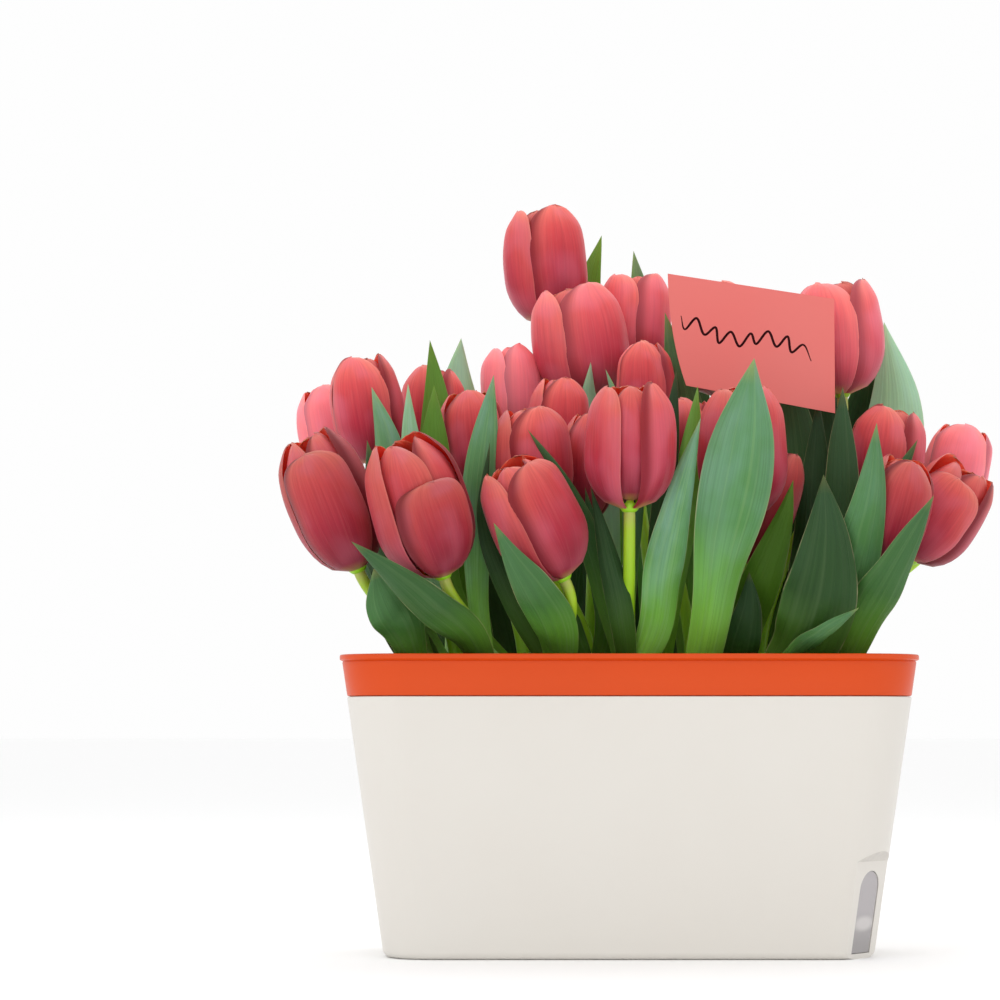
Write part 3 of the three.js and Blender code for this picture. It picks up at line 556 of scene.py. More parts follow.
def petal_lining():
    """Inside of a tulip petal: glossier, a warmer red with a yellow foot, painted brighter as painted
    light for the sun that shines through the petal.
    """
    made, tree, shader = new_material(
        "petal_inside", Roughness=0.38, IOR=1.4, Subsurface_Weight=0.3, Subsurface_Scale=0.006)
    shader.inputs["Subsurface Radius"].default_value = (1.0, 0.2, 0.1)
    sheet = read_sheet(tree)
    along, rim = sheet[1:3]
    colour = add(tree, "ShaderNodeValToRGB", {"stops": [
        (0.0, "#d6c23a"), (0.14, "#c9a234"), (0.2, "#c8241f"), (0.5, "#f43d2e"),
        (0.8, "#ff5640"), (1.0, "#ff785c")]}, (along,))
    lines = streaks(tree, sheet, PETAL_SIZE, 1.53, 42.7)
    colour = lay(tree, colour, "#f0705a", rim, (0.6, 1.0), (0.0, 0.7), True)
    colour = lay(tree, colour, "#a01a20", lines, (0.0, 1.0), (0.0, 0.2))
    finish_skin(tree, shader, colour, lines, 0.2, 0.4)
    return made


def leaf_skin(name, stops, rim_colour, roughness, wax):
    """Tulip leaf: parallel veins, cloudy blue-grey wax that dulls its shine, a thin dry rim."""
    made, tree, shader = new_material(
        name, Roughness=roughness, IOR=1.42, Specular_IOR_Level=0.25, Subsurface_Weight=0.06,
        Subsurface_Scale=0.003)
    shader.inputs["Subsurface Radius"].default_value = (0.4, 1.0, 0.2)
    across, along, rim, whole_tone = read_sheet(tree)
    times = {"operation": "MULTIPLY"}
    tone = add(tree, "ShaderNodeMath", {"operation": "MODULO"}, (whole_tone, YELLOWER))
    sheet = (across, along, rim, tone)
    veins = streaks(tree, sheet, LEAF_SIZE, 0.5, 108.3)
    ribs = streaks(tree, sheet, LEAF_SIZE, 1.643, 185.7, 1.0)
    clouds = streaks(tree, sheet, LEAF_SIZE, 12.78, 26, 2.0)
    gaps = streaks(tree, (0.0, along, rim, tone), LEAF_SIZE, 1, 21.7)
    # wax: in clouds, thick on leaves of a high tone, and thin near the foot
    cloudy = add(tree, "ShaderNodeMapRange", SMOOTH, (clouds, 0.3, 0.7, 0.25, 1.0))
    waxed = add(tree, "ShaderNodeMapRange", None, (tone, 0.5, 1.0, 0.12 * wax, wax))
    upper = add(tree, "ShaderNodeMapRange", None, (along, 0.15, 0.6, 0.1, 1.0))
    share = add(tree, "ShaderNodeMath", times, (cloudy, waxed))
    share = add(tree, "ShaderNodeMath", times, (share, upper))
    green = add(tree, "ShaderNodeValToRGB", {"stops": stops}, (along,))
    colour = add(tree, "ShaderNodeMix", COLOURS, {0: share, 6: green, 7: linear("#7ba78e")}, 2)
    colour = lay(tree, colour, "#244c28", veins, (0.35, 0.68), (0.0, 0.231))
    colour = lay(tree, colour, "#8fb877", ribs, (0.5, 0.75), (0.0, 0.3))
    colour = lay(tree, colour, "#74a81a", whole_tone, (YELLOWER - 0.2, YELLOWER), (0.0, 0.7))
    colour = lay(tree, colour, "#b9d6bd", tone, (1.0, 1.4), (0.0, 0.32))
    colour = shade(tree, colour, tone, (0.0, 1.4), (0.17, 1.38))
    # the dry rim shows in stretches
    at_rim = add(tree, "ShaderNodeMapRange", SMOOTH, (rim, 0.955, 1.0, 0.0, 0.5))
    stretch = add(tree, "ShaderNodeMapRange", None, (gaps, 0.4, 0.65, 0.1, 1.0))
    share = add(tree, "ShaderNodeMath", times, (at_rim, stretch))
    colour = add(tree, "ShaderNodeMix", COLOURS, {0: share, 6: colour, 7: linear(rim_colour)}, 2)
    relief = add(tree, "ShaderNodeMath", {"operation": "MULTIPLY_ADD"}, (ribs, 2.0, veins))
    finish_skin(tree, shader, colour, relief, 0.45, 0.6)
    return made


def stem_skin():
    """Tulip stem: smooth and juicy, a bright yellow green that pales towards the flower."""
    made, tree, shader = new_material(
        "stem_skin", Roughness=0.4, IOR=1.42, Subsurface_Weight=0.1, Subsurface_Scale=0.004)
    sheet = read_sheet(tree)
    along = sheet[1]
    colour = add(tree, "ShaderNodeValToRGB", {"stops": [
        (0.0, "#c9d2a0"), (0.12, "#8ccc2a"), (0.6, "#a8de24"), (0.93, "#aacc30"),
        (1.0, "#b9bd62")]}, (along,))
    lines = streaks(tree, sheet, STEM_SIZE, 0.833, 100)
    colour = lay(tree, colour, "#3f6d1c", lines, (0.0, 1.0), (0.0, 0.25))
    finish_skin(tree, shader, colour)
    return made


def plain_skin(name, colour, roughness, grain, depth, clouded=0.0, dark=None, **inputs):
    """One colour or two in large clouds, and a grain whose width and depth are in mm."""
    made, tree, shader = new_material(name, Roughness=roughness, **inputs)
    place = add(tree, "ShaderNodeTexCoord", None, (), "Object")
    speckle = add(tree, "ShaderNodeTexNoise", None,
                  {"Vector": place, "Scale": 1 / (grain * MM), "Detail": 3.0, "Roughness": 0.6}, "Fac")
    if dark:
        clouds = add(tree, "ShaderNodeTexNoise", None,
                     {"Vector": place, "Scale": 1 / (CLOUD_MM * MM), "Detail": 2.0}, "Fac")
        colour = lay(tree, colour, dark, clouds, (0.3, 0.75), (0.0, clouded))
    finish_skin(tree, shader, colour, speckle, 0.3, depth)
    return made


def shade_the_step(made):
    """Painted shade on the step over the recess: a grey in blots, where the step looks down and away from
    the light.
    """
    tree = made.node_tree
    colour = tree.nodes["Principled BSDF"].inputs["Base Color"]
    unshaded = colour.links[0].from_socket
    place = add(tree, "ShaderNodeTexCoord", None, (), "Object")
    height = add(tree, "ShaderNodeSeparateXYZ", None, (place,), 2)
    facing = add(tree, "ShaderNodeNewGeometry", None, (), "True Normal")
    upward = add(tree, "ShaderNodeSeparateXYZ", None, (facing,), 2)
    marks = add(tree, "ShaderNodeTexNoise", None,
                {"Vector": place, "Scale": 1 / (STEP_SHADE_BLOT_MM * MM), "Detail": 2.0}, "Fac")
    # painted shade: the step looks down and outwards, and its painted grey grows towards its top
    share = add(tree, "ShaderNodeMapRange", None, (upward, -0.25, -0.45, 0.0, 1.0))
    for value, limits, shares in (
            (height, (36 * MM, 40 * MM), (0.0, 1.0)),
            (height, (RECESS_TOP * MM, 62 * MM), (0.25, 0.6)),
            (marks, (0.3, 0.6), (0.6, 1.0))):
        part = add(tree, "ShaderNodeMapRange", None, (value, *limits, *shares))
        share = add(tree, "ShaderNodeMath", {"operation": "MULTIPLY"}, (share, part))
    shaded_step = add(tree, "ShaderNodeMix", COLOURS, {0: share, 6: unshaded, 7: linear("#98918b")}, 2)
    tree.links.new(shaded_step, colour)


def recess_matrix():
    return (Matrix.Translation((RECESS_FOOT[0], RECESS_FOOT[1], 0))
            @ Matrix.Rotation(math.radians(-RECESS_TURN), 4, "Z")
            @ Matrix.Rotation(math.radians(RECESS_SLOPE), 4, "Y"))


def window_skin():
    """Clear moulded plastic: glossy, with painted shade in grey for the dark inside the pot, darker low
    down, and a painted pale blot of light where the float shows.
    """
    made, tree, shader = new_material(
        "clear_window_plastic", Roughness=0.2, Transmission_Weight=0.12, IOR=1.49)
    place = add(tree, "ShaderNodeTexCoord", None, (), "Object")
    height = add(tree, "ShaderNodeSeparateXYZ", None, (place,), 2)
    head = recess_matrix() @ Vector((0, WINDOW_ALONG, FLOAT_SHOWS_AT))
    offset = add(tree, "ShaderNodeVectorMath", {"operation": "SUBTRACT"}, (place, head * MM))
    # painted light: the float's lit head shows as a pale blot wider than it is tall
    flatter = add(tree, "ShaderNodeVectorMath", {"operation": "MULTIPLY"}, (offset, (0.6, 0.6, 1.6)))
    apart = add(tree, "ShaderNodeVectorMath", {"operation": "LENGTH"}, (flatter,), "Value")
    # painted shade of the dark inside the pot, darker low down
    painted_shade_behind = lay(tree, "#a39f9f", "#b6b1b3", height, (8 * MM, 24 * MM), (0, 1))
    colour = lay(tree, painted_shade_behind, "#dedad8", apart, (3 * MM, 8 * MM), (0.7, 0.0), True)
    finish_skin(tree, shader, colour)
    return made


PETAL_OUT = petal_skin()
PETAL_IN = petal_lining()
LEAF_OUT = leaf_skin("leaf_outside", [
    (0.0, "#9ad046"), (0.28, "#78b838"), (0.52, "#528c3c"), (0.92, "#5c9155"), (1.0, "#a9b468")],
    "#c9bd8e", 0.5, 0.85)
LEAF_IN = leaf_skin("leaf_inside", [
    (0.0, "#7ab834"), (0.25, "#5a9a2c"), (0.5, "#467c32"), (0.92, "#528748"), (1.0, "#9fae62")],
    "#c4bd84", 0.46, 0.5)
STEM = stem_skin()
# three-lobed pistil: moist and yellow green
PISTIL = plain_skin("pistil", "#c3cf74", 0.5, 1.0, 0.1)
# ripe anthers: dry, powdery and nearly black
ANTHER = plain_skin("anther", "#2b1c22", 0.8, 0.6, 0.2)
# papery skin of a bulb: chestnut brown in uneven patches, with a weak shine
TUNIC = plain_skin("bulb_tunic", "#8a5a35", 0.5, 2.0, 0.2, 0.6, "#6a3f24")
# moulded polypropylene, off white: satin, with a grain that only breaks the edge of its shine
POT_WHITE = plain_skin("moulded_white_plastic", "#dcd8d1", 0.38, 0.9, 0.02, 0.5, "#d9d4cc")
# paints shade in grey on the step over the recess
shade_the_step(POT_WHITE)
# the same plastic dyed orange: saturated, and a little glossier than the pot
LINER_ORANGE = plain_skin("moulded_orange_plastic", "#d6490a", 0.36, 0.9, 0.02, 0.4, "#cd4408",
                          Specular_IOR_Level=0.3)
WINDOW_GREY = window_skin()
# foamed polyethylene: matt and white, with fine cells
FLOAT_FOAM = plain_skin("float_foam", "#e6e3df", 0.6, 0.8, 0.05)
# moist peat: dark and crumbly, without any shine
SOIL = plain_skin("peat_soil", "#3a281c", 0.95, 1.6, 0.6, 0.8, "#1d130d")
# bits of bark in the peat: redder, rough and of uneven brown
CRUMB = plain_skin("bark_crumb", "#54392a", 0.9, 1.0, 0.3, 0.8, "#2c1b12")
# uncoated coral card: matt, with a hardly visible felt of its fibres
CARD_PAPER = plain_skin("coral_card_paper", "#e6746e", 0.75, 0.5, 0.03, 0.5, "#e07e78")
# dried pen ink: dark red brown and matt, as it sinks into the paper
INK = plain_skin("pen_ink", "#2c0408", 0.7, 0.5, 0.01, Specular_IOR_Level=0.1)
# planed birch stick: pale and matt, with soft changes of tone
PICK_WOOD = plain_skin("birch_stick", "#c9a878", 0.7, 0.8, 0.05, 0.5, "#b08c5c")


# ---- blooms ----
# whorl: its size as a share of the bloom's radius; how far its petals draw in towards their tips,
# and how much of that an open bloom takes back; the height of its foot and, as a share of the
# bloom's length, of its top; the width of its petals; its turn round the bloom, in degrees; how
# far its tips curl in; how far one rim stands out over the next petal; and the height of its waves.
OUTER = {"scale": 1.0, "drawn": 0.55, "opening": 0.45, "foot": 1.5, "top": 1.0, "width": 1.12,
         "turn": 0, "curl": 0.42, "lap": 0.012, "ripple": 0.5}
INNER = {"scale": 0.84, "drawn": 0.7, "opening": 0.2, "foot": 5.5, "top": 0.98, "width": 1.24,
         "turn": 60, "curl": 0.3, "lap": 0.05, "ripple": 1.1}
WIDEST = 0.4  # share of a petal's length
PETAL_GRID = (16, 22)
TIP_CROWDING = 1.5  # rows of faces lie closer towards the tip
PETAL_BOW = 0.06  # how much closer to the axis its rims lie, as a share of the radius
PETAL_TAPER = 0.45  # how much narrower a petal is that reaches less high
NOTCH_DEPTH = 0.035  # as a share of its length
DENT_DEPTH = 1.1
KEEL_DEPTH = 0.5
KEEL_WIDTH = 0.12  # as a share of its half width
HEART = ((0, 0), (2.6, 0), (3.5, 0.4), (4.6, 1.8), (5.4, 4.2), (4.0, 7.0), (0, 9.0))
PISTIL_SHARE = 0.34  # of the bloom's length
ANTHER_RING = 4.6
BLOOM_TONES = {14: 1.3, 20: 1.3, 21: 1.3, 22: 0.5, 4: 0.32, 2: 0.0, 1: -0.12}  # from pink to dark
SHADE_HEIGHTS = (230, 350)  # blooms between these heights go from dark to light


def petal_radius(plant, whorl, share):
    """Radius of a whorl's petals on their middle lines: round below and drawn in above."""
    widest = plant["radius"] * whorl["scale"]
    if share < WIDEST:
        return widest * math.sqrt(1 - 0.98 * ((WIDEST - share) / WIDEST) ** 2)
    above = (share - WIDEST) / (1 - WIDEST)
    return widest * (1 - (whorl["drawn"] - whorl["opening"] * plant["open"]) * above ** 3)


def petal_spread(plant, whorl, share):
    """Half the angle that a petal spans."""
    half = math.radians(plant["spread"] * whorl["width"])
    if share < WIDEST:
        return half * (0.92 + 0.08 * share / WIDEST)
    return half * max(0.0, 1 - ((share - WIDEST) / (1 - WIDEST)) ** 6) ** 0.4


def petal(bm, plant, whorl, reach, bloom_frame, angle, tone, chance):
    """One cupped petal: waved rims, shallow dents, a keel along its middle and a notched tip."""
    tall = plant["length"] * whorl["top"] - whorl["foot"]
    flick = chance.uniform(-0.03, 0.04)
    phase = chance.uniform(0, 6.28)
    turn = Matrix.Rotation(angle, 4, "Z")

    def place(across, along, side):
        share = 1 - (1 - along) ** TIP_CROWDING
        notch = 0.5 + 0.5 * noise.noise(Vector((across * 4, phase, 2)))
        rise = share * reach * (1 - NOTCH_DEPTH * notch * ease(0.7, 1.0, share))
        step = 0.01
        slope = (petal_radius(plant, whorl, rise + step) - petal_radius(plant, whorl, rise)) / step
        normal = Vector((tall, -slope)).normalized()
        bow = 1 + whorl["lap"] * across - PETAL_BOW * across ** 2
        radius = petal_radius(plant, whorl, rise) * bow
        radius *= 1 + flick * ease(0.55, 1.0, share)
        radius *= 1 - whorl["curl"] * (1 - plant["open"]) * ease(0.78, 1.08, rise)
        swing = petal_spread(plant, whorl, share) * (1 - PETAL_TAPER * (1 - reach)) * across
        wave = math.sin(11 * share + phase + 2.2 * across) * across ** 2 * ease(0.3, 0.9, share)
        dents = noise.noise(Vector((across * 1.3, share * 2.6, phase * 5)))
        dents *= (1 - 0.7 * across ** 2) * ease(0.0, 0.3, share)
        keel = math.exp(-(across / KEEL_WIDTH) ** 2) * ease(0.05, 0.3, share) * (1 - ease(0.7, 1.0, share))
        thick = PETAL_THICK * math.sqrt(1 - across ** 4) * ease(0, 0.05, share) * ease(0, 0.02, 1 - share)
        lift = whorl["ripple"] * wave + DENT_DEPTH * dents - KEEL_DEPTH * keel + side * thick / 2
        out = radius + normal.x * lift
        spot = Vector((out * math.cos(swing), out * math.sin(swing),
                       whorl["foot"] + tall * rise + normal.y * lift))
        return bloom_frame @ (turn @ spot)
    sheet(bm, *PETAL_GRID, place, (0, 1), tone + chance.uniform(-0.12, 0.12))


def bloom(plant, number):
    chance = random.Random(100 + number)
    bm = bmesh.new()
    upright = Vector((0, 0, 1)).rotation_difference(bloom_axis(plant)).to_matrix().to_4x4()
    bloom_frame = Matrix.Translation(bloom_base(plant)) @ upright
    height = between_limits(plant["middle"].z, *SHADE_HEIGHTS)
    for whorl in (OUTER, INNER):
        tone = BLOOM_TONES.get(number, 0.1 + 0.8 * height)
        if whorl is INNER:
            tone = max(tone - 0.35, 0.2)
        for n in range(3):
            angle = math.radians(plant["turn"] - 90 + whorl["turn"] + 120 * n)
            reach = plant["lead"] if whorl is OUTER and n == 0 else chance.uniform(0.97, 1.0)
            petal(bm, plant, whorl, reach, bloom_frame, angle, tone, chance)
    made = turned(bm, HEART, 16, Vector(), 2)
    tall = plant["length"] * PISTIL_SHARE
    made += turned(bm, ((0, 6), (2.4, 6), (2.2, tall * 0.6), (2.0, tall), (3.2, tall + 1),
                        (3.2, tall + 2.4), (0, tall + 3)), 9, Vector(), 3)
    for n in range(6):
        angle = math.radians(plant["turn"] + 60 * n)
        foot = Vector((math.cos(angle), math.sin(angle), 0)) * ANTHER_RING
        made += turned(bm, ((0, 5), (0.5, 5), (0.5, tall * 0.5), (1.3, tall * 0.55),
                            (1.3, tall * 0.95), (0, tall)), 6, foot, 4)
    bmesh.ops.transform(bm, matrix=bloom_frame, verts=[vert for vert in made if vert.is_valid])
    finished(f"tulip_bloom_{number:02d}", bm, [PETAL_OUT, PETAL_IN, STEM, PISTIL, ANTHER],
             [f"bloom_{number:02d}"])


# ---- leafy stems ----
STEM_STIFFNESS = (0.42, 0.3)  # shares of its reach that a stem keeps straight at its ends
STEM_STEPS = 40
STEM_GRID = (14, 36)
BULB = ((0, 0), (7, 0.6), (11, 4), (12.5, 10), (10.5, 17), (6.5, 24), (3.4, 29), (0, 33))
STEM_IN_BULB = 23  # height in the bulb at which the stem starts
LEAF_GRID = (10, 44)
# how far a leaf bends back at its rims, waves, ruffles and puckers, as shares of its half width
FOLD = 0.3
WAVE = 0.1
RUFFLE = 0.04
PUCKER = 0.08
# Tones of the leaves in sight, by plant and leaf: a dark one is 0, one with a thick bloom of wax 1
# or more, and 2 is added for a yellow one.
LEAF_TONES = {
    (1, 1): 0.5, (2, 0): 0.3, (2, 1): 0.95, (3, 0): 0.52, (4, 0): 1.0, (5, 0): 0.86, (6, 0): 0.1,
    (6, 1): 0.6, (7, 0): 0.4, (7, 1): 0.66, (8, 0): 1.05, (9, 0): 2.65, (9, 1): 1.25, (11, 1): 2.95,
    (12, 0): 2.52, (13, 0): 0.12, (13, 1): 0.05, (14, 0): 0.3, (15, 0): 2.6, (17, 0): 1.3,
    (17, 1): 0.95, (18, 0): 0.6, (21, 0): 1.35, (23, 0): 2.85, (24, 0): 0.95, (26, 0): 1.4,
    (26, 1): 0.1, (26, 2): 0.1,
}


def stem_path(plant, place):
    """From inside the bulb straight up through the soil, then in one bend to the bloom's base."""
    base = bloom_base(plant)
    axis = bloom_axis(plant)
    reach = (base - place).length
    neck = Vector((place.x, place.y, SOIL_TOP + NECK))
    knots = (neck, neck + Vector((0, 0, reach * STEM_STIFFNESS[0])),
             base - axis * reach * STEM_STIFFNESS[1], base + axis * GAP)
    points = [Vector((place.x, place.y, BULB_FOOT + STEM_IN_BULB))]
    for step in range(STEM_STEPS + 1):
        t = step / STEM_STEPS
        weights = ((1 - t) ** 3, 3 * t * (1 - t) ** 2, 3 * t * t * (1 - t), t ** 3)
        points.append(sum((knot * weight for knot, weight in zip(knots, weights)), Vector()))
    return by_length(points)


def stem(bm, plant, place, tone):
    path = stem_path(plant, place)

    def at(turn, along):
        middle, ahead = path(along)
        right = ahead.cross(Vector((0, 1, 0))).normalized()
        front = right.cross(ahead)
        angle = 2 * math.pi * turn
        radius = STEM_RADIUS * (1.04 - 0.12 * along)
        return middle + (right * math.cos(angle) + front * math.sin(angle)) * radius
    ring_tube(bm, *STEM_GRID, at, 2, tone)


def blade_width(shape, share):
    """Share of the greatest width that a blade has at a share of its length."""
    belly = shape["belly"]
    if share < belly:
        return 0.5 + 0.5 * math.sin(math.pi / 2 * (share / belly) ** shape["waist"])
    return max(0.0, math.cos(math.pi / 2 * (share - belly) / (1 - belly)))


def blade(bm, place, shape, tone, chance):
    """A leaf folded back along its middle, with waved and ruffled sides and shallow puckers."""
    start = Vector((place.x, place.y, SOIL_TOP + LEAF_FOOT))
    path = by_length(rib_curve([start, *shape["rib"]], 24))
    face = math.radians(shape["face"])
    looks = Vector((math.sin(face), -math.cos(face), 0))
    phase = chance.uniform(0, 6.28)

    def at(across, along, side):
        middle, ahead = path(along)
        sideways = ahead.cross(looks).normalized()
        outward = sideways.cross(ahead)
        half = shape["width"] / 2 * blade_width(shape, along) * ease(-0.06, 0.10, along)
        bend = -FOLD * across ** 2
        bend -= WAVE * across * math.cos(6 * math.pi * along)
        bend += RUFFLE * across ** 2 * math.sin(17 * along + phase + across)
        bend += PUCKER * noise.noise(Vector((across * 1.2, along * 7, phase * 5))) * ease(0, 0.2, along)
        thick = BLADE_THICK * math.sqrt(1 - across ** 4) * ease(0, 0.03, along) * ease(0, 0.02, 1 - along)
        return middle + sideways * (half * across) + outward * (half * bend + side * thick / 2)
    sheet(bm, *LEAF_GRID, at, (0, 1), tone)


def leafy_stem(plant, place, number):
    chance = random.Random(500 + number)
    bm = bmesh.new()
    for n, shape in enumerate(plant["leaves"]):
        # leaves not listed take a low tone at random, darker than those in sight: painted shade for the
        # gaps deep among the plants
        tone = LEAF_TONES.get((number, n), chance.uniform(0.0, 0.45))
        blade(bm, place, shape, tone, chance)
    stem(bm, plant, place, chance.random())
    turned(bm, BULB, 16, Vector((place.x, place.y, BULB_FOOT)), 3)
    finished(f"tulip_plant_{number:02d}", bm, [LEAF_OUT, LEAF_IN, STEM, TUNIC],
             [f"leafy_stem_{number:02d}"])


number = 0
for row, plants in enumerate(ROWS):
    for n, plant in enumerate(plants):
        number += 1
        bloom(plant, number)
        leafy_stem(plant, seat(row, n), number)


# ---- planter ----
CORNER_STEPS = 14
AROUND = 4 * (CORNER_STEPS + 1)
TURN_SIDES = 32
EDGE_ANGLE = 40
LIP_ROUNDING = 0.9
FLOAT = ((0, 0), (3.6, 0), (4, 0.5), (4, 1.4), (3.4, 2), (1.5, 3.2), (1.5, 10.2), (3.0, 10.9),
         (3.7, 12), (4, 14), (3.6, 16), (2.4, 17.3), (0, 17.7))


def rounded(half_length, half_depth, corner, turn, z):
    """A point on a rounded rectangle, with turn from 0 to 1 round it."""
    place = round(turn * AROUND) % AROUND
    quarter, step = divmod(place, CORNER_STEPS + 1)
    angle = (quarter + step / CORNER_STEPS) * math.pi / 2
    side_x = 1 if quarter in (0, 3) else -1
    side_y = 1 if quarter < 2 else -1
    return Vector((side_x * (half_length - corner) + corner * math.cos(angle),
                   side_y * (half_depth - corner) + corner * math.sin(angle), z))


def pot_ring(z, inset, turn):
    lean = POT_FLARE * z / POT_HEIGHT
    corner = CORNER_FOOT + (CORNER_RIM - CORNER_FOOT) * z / POT_HEIGHT
    return rounded(POT_FOOT[0] + lean - inset, POT_FOOT[1] + lean - inset, corner - inset, turn, z)


def band_ring(z, out, turn):
    return rounded(POT_FOOT[0] + POT_FLARE + out, POT_FOOT[1] + POT_FLARE + out, CORNER_RIM + out, turn, z)


def shell(bm, rings):
    """A closed body from rings one above the other: each a ring function, a height and an inset."""
    def place(turn, along):
        ring, z, inset = rings[round(along * (len(rings) - 1))]
        return ring(z, inset, turn)
    ring_tube(bm, AROUND, len(rings) - 1, place)
    bmesh.ops.holes_fill(bm, edges=[edge for edge in bm.edges if edge.is_boundary], sides=0)


def recess_block(back, low, high_back, high_front):
    """A prism on the recess face, from its back out of the corner."""
    bm = bmesh.new()
    bmesh.ops.create_cube(bm, size=2)
    for vert in bm.verts:
        x = CUTTER_REACH if vert.co.x > 0 else back
        y = RECESS_RUN[1] if vert.co.y > 0 else RECESS_RUN[0]
        top = high_front if vert.co.x > 0 else high_back
        z = top if vert.co.z > 0 else low
        vert.co = (x, y, z)
    bmesh.ops.transform(bm, matrix=recess_matrix(), verts=bm.verts)
    return bm


def window_block(inset, back, front):
    """The window's outline, with a flat foot and a round top, run through the wall."""
    half = WINDOW_WIDTH / 2 - inset
    spring = WINDOW_LOW + WINDOW_HEIGHT - WINDOW_WIDTH / 2
    bm = bmesh.new()
    bmesh.ops.create_circle(bm, segments=40, radius=half, cap_ends=True)
    for vert in bm.verts:
        rise = vert.co.y if vert.co.y > -0.01 else WINDOW_LOW + inset - spring
        vert.co = (back, WINDOW_ALONG + vert.co.x, spring + rise)
    made = bmesh.ops.extrude_face_region(bm, geom=bm.faces[:])["geom"]
    moved = [item for item in made if isinstance(item, bmesh.types.BMVert)]
    bmesh.ops.translate(bm, verts=moved, vec=(front - back, 0, 0))
    bmesh.ops.recalc_face_normals(bm, faces=bm.faces)
    bmesh.ops.transform(bm, matrix=recess_matrix(), verts=bm.verts)
    return bm


def scratch_object(name, bm):
    mesh = bpy.data.meshes.new(name)
    bm.to_mesh(mesh)
    bm.free()
    made = bpy.data.objects.new(name, mesh)
    bpy.context.collection.objects.link(made)
    return made


def carved(target, cutters):
    """The target with the cutters taken away, as a bmesh. All of them are removed."""
    for cutter in cutters:
        cut = target.modifiers.new("cut", "BOOLEAN")
        cut.operation = "DIFFERENCE"
        cut.solver = "EXACT"
        cut.object = cutter
    bpy.context.view_layer.update()
    view = target.evaluated_get(bpy.context.evaluated_depsgraph_get())
    bm = bmesh.new()
    bm.from_mesh(view.to_mesh())
    view.to_mesh_clear()
    for item in [target, *cutters]:
        bpy.data.objects.remove(item)
    return bm


def rounding(size, steps):
    """Insets and heights of a quarter round at a foot."""
    return [(size * (1 - math.sin(a)), size * (1 - math.cos(a)))
            for a in (math.pi / 2 * step / steps for step in range(steps + 1))]


def planter_shell():
    foot = [(pot_ring, z, inset) for inset, z in rounding(FOOT_ROUNDING, 6)]
    rim = [(pot_ring, POT_HEIGHT - z, inset) for inset, z in reversed(rounding(RIM_ROUNDING, 4))]
    bm = bmesh.new()
    shell(bm, foot + rim)
    outside = scratch_object("outside", bm)
    bm = bmesh.new()
    shell(bm, [(pot_ring, POT_FLOOR, POT_WALL + RIM_ROUNDING),
               (pot_ring, POT_HEIGHT + RIM_ROUNDING, POT_WALL)])
    inside = scratch_object("inside", bm)
    over = RECESS_TOP + BACKING_RISE
    backing = recess_block(-POT_WALL, CUTTER_LOW, over, over)
    inside = scratch_object("hollow", carved(inside, [scratch_object("backing", backing)]))
    recess = recess_block(0, CUTTER_LOW, RECESS_TOP, RECESS_TOP + RECESS_LEDGE)
    recess = scratch_object("recess", recess)
    hole = scratch_object("hole", window_block(0, -2 * POT_WALL, POT_WALL))
    bm = carved(outside, [inside, recess, hole])
    for face in bm.faces:
        face.smooth = True
    sharpen(bm, 28)
    finished("planter_shell", bm, [POT_WHITE], ["outer_pot"])


def water_window():
    bm = window_block(GAP, -WINDOW_THICK - WINDOW_SET_BACK, -WINDOW_SET_BACK)
    finished("level_window", bm, [WINDOW_GREY], ["water_window"])
    bm = bmesh.new()
    place = recess_matrix() @ Vector((-FLOAT_SET_BACK, WINDOW_ALONG, 0))
    place.z = POT_FLOOR + GAP
    turned(bm, FLOAT, 24, place)
    finished("level_float", bm, [FLOAT_FOAM], ["water_float"])


def liner():
    band_foot = POT_HEIGHT + GAP
    lip_foot = RIM_TOP - LIP_HEIGHT
    # the basket's rounded foot and its wall, the band with its rounded foot, and the lip
    rings = [(pot_ring, LINER_FLOOR, BASKET_INSET + 2),
             (pot_ring, LINER_FLOOR + 0.6, BASKET_INSET + 0.6),
             (pot_ring, LINER_FLOOR + 2, BASKET_INSET), (pot_ring, band_foot, BASKET_INSET),
             (band_ring, band_foot, -0.8), (band_ring, band_foot + 0.15, -0.3),
             (band_ring, band_foot + 0.7, 0), (band_ring, lip_foot - 1.2, BAND_FLARE - 0.15),
             (band_ring, lip_foot - 0.5, BAND_FLARE - 0.5),
             (band_ring, lip_foot - 0.1, BAND_FLARE + 0.4),
             (band_ring, lip_foot + 0.4, BAND_FLARE + LIP)]
    rings += [(band_ring, RIM_TOP - z, BAND_FLARE + LIP - inset)
              for inset, z in reversed(rounding(LIP_ROUNDING, 5))]
    # over the lip and down the inside
    rings += [(band_ring, RIM_TOP - z, BAND_FLARE - LINER_WALL + inset)
              for inset, z in rounding(LIP_ROUNDING, 5)]
    rings += [(band_ring, band_foot + LINER_WALL, -LINER_WALL),
              (pot_ring, band_foot - LINER_WALL / 2, BASKET_INSET + LINER_WALL),
              (pot_ring, LINER_FLOOR + LINER_WALL, BASKET_INSET + LINER_WALL)]
    bm = bmesh.new()
    shell(bm, rings)
    basket = carved(scratch_object("basket", bm), [leg_bore(x) for x in (-LEG_X, LEG_X)])
    for x in (-LEG_X, LEG_X):
        leg = slotted_leg(x)
        mesh = bpy.data.meshes.new("leg")
        leg.to_mesh(mesh)
        leg.free()
        basket.from_mesh(mesh)
        bpy.data.meshes.remove(mesh)
    sharpen(basket, EDGE_ANGLE)
    finished("planting_liner", basket, [LINER_ORANGE], ["inner_pot"])


def leg_bore(x):
    """The hole in the basket's floor over a wicking leg."""
    bm = bmesh.new()
    radius = LEG_RADIUS[1] - LEG_WALL
    low, high = LINER_FLOOR - 1, LINER_FLOOR + LINER_WALL + 1
    turned(bm, ((0, low), (radius, low), (radius, high), (0, high)), TURN_SIDES, Vector((x, 0, 0)))
    return scratch_object("bore", bm)


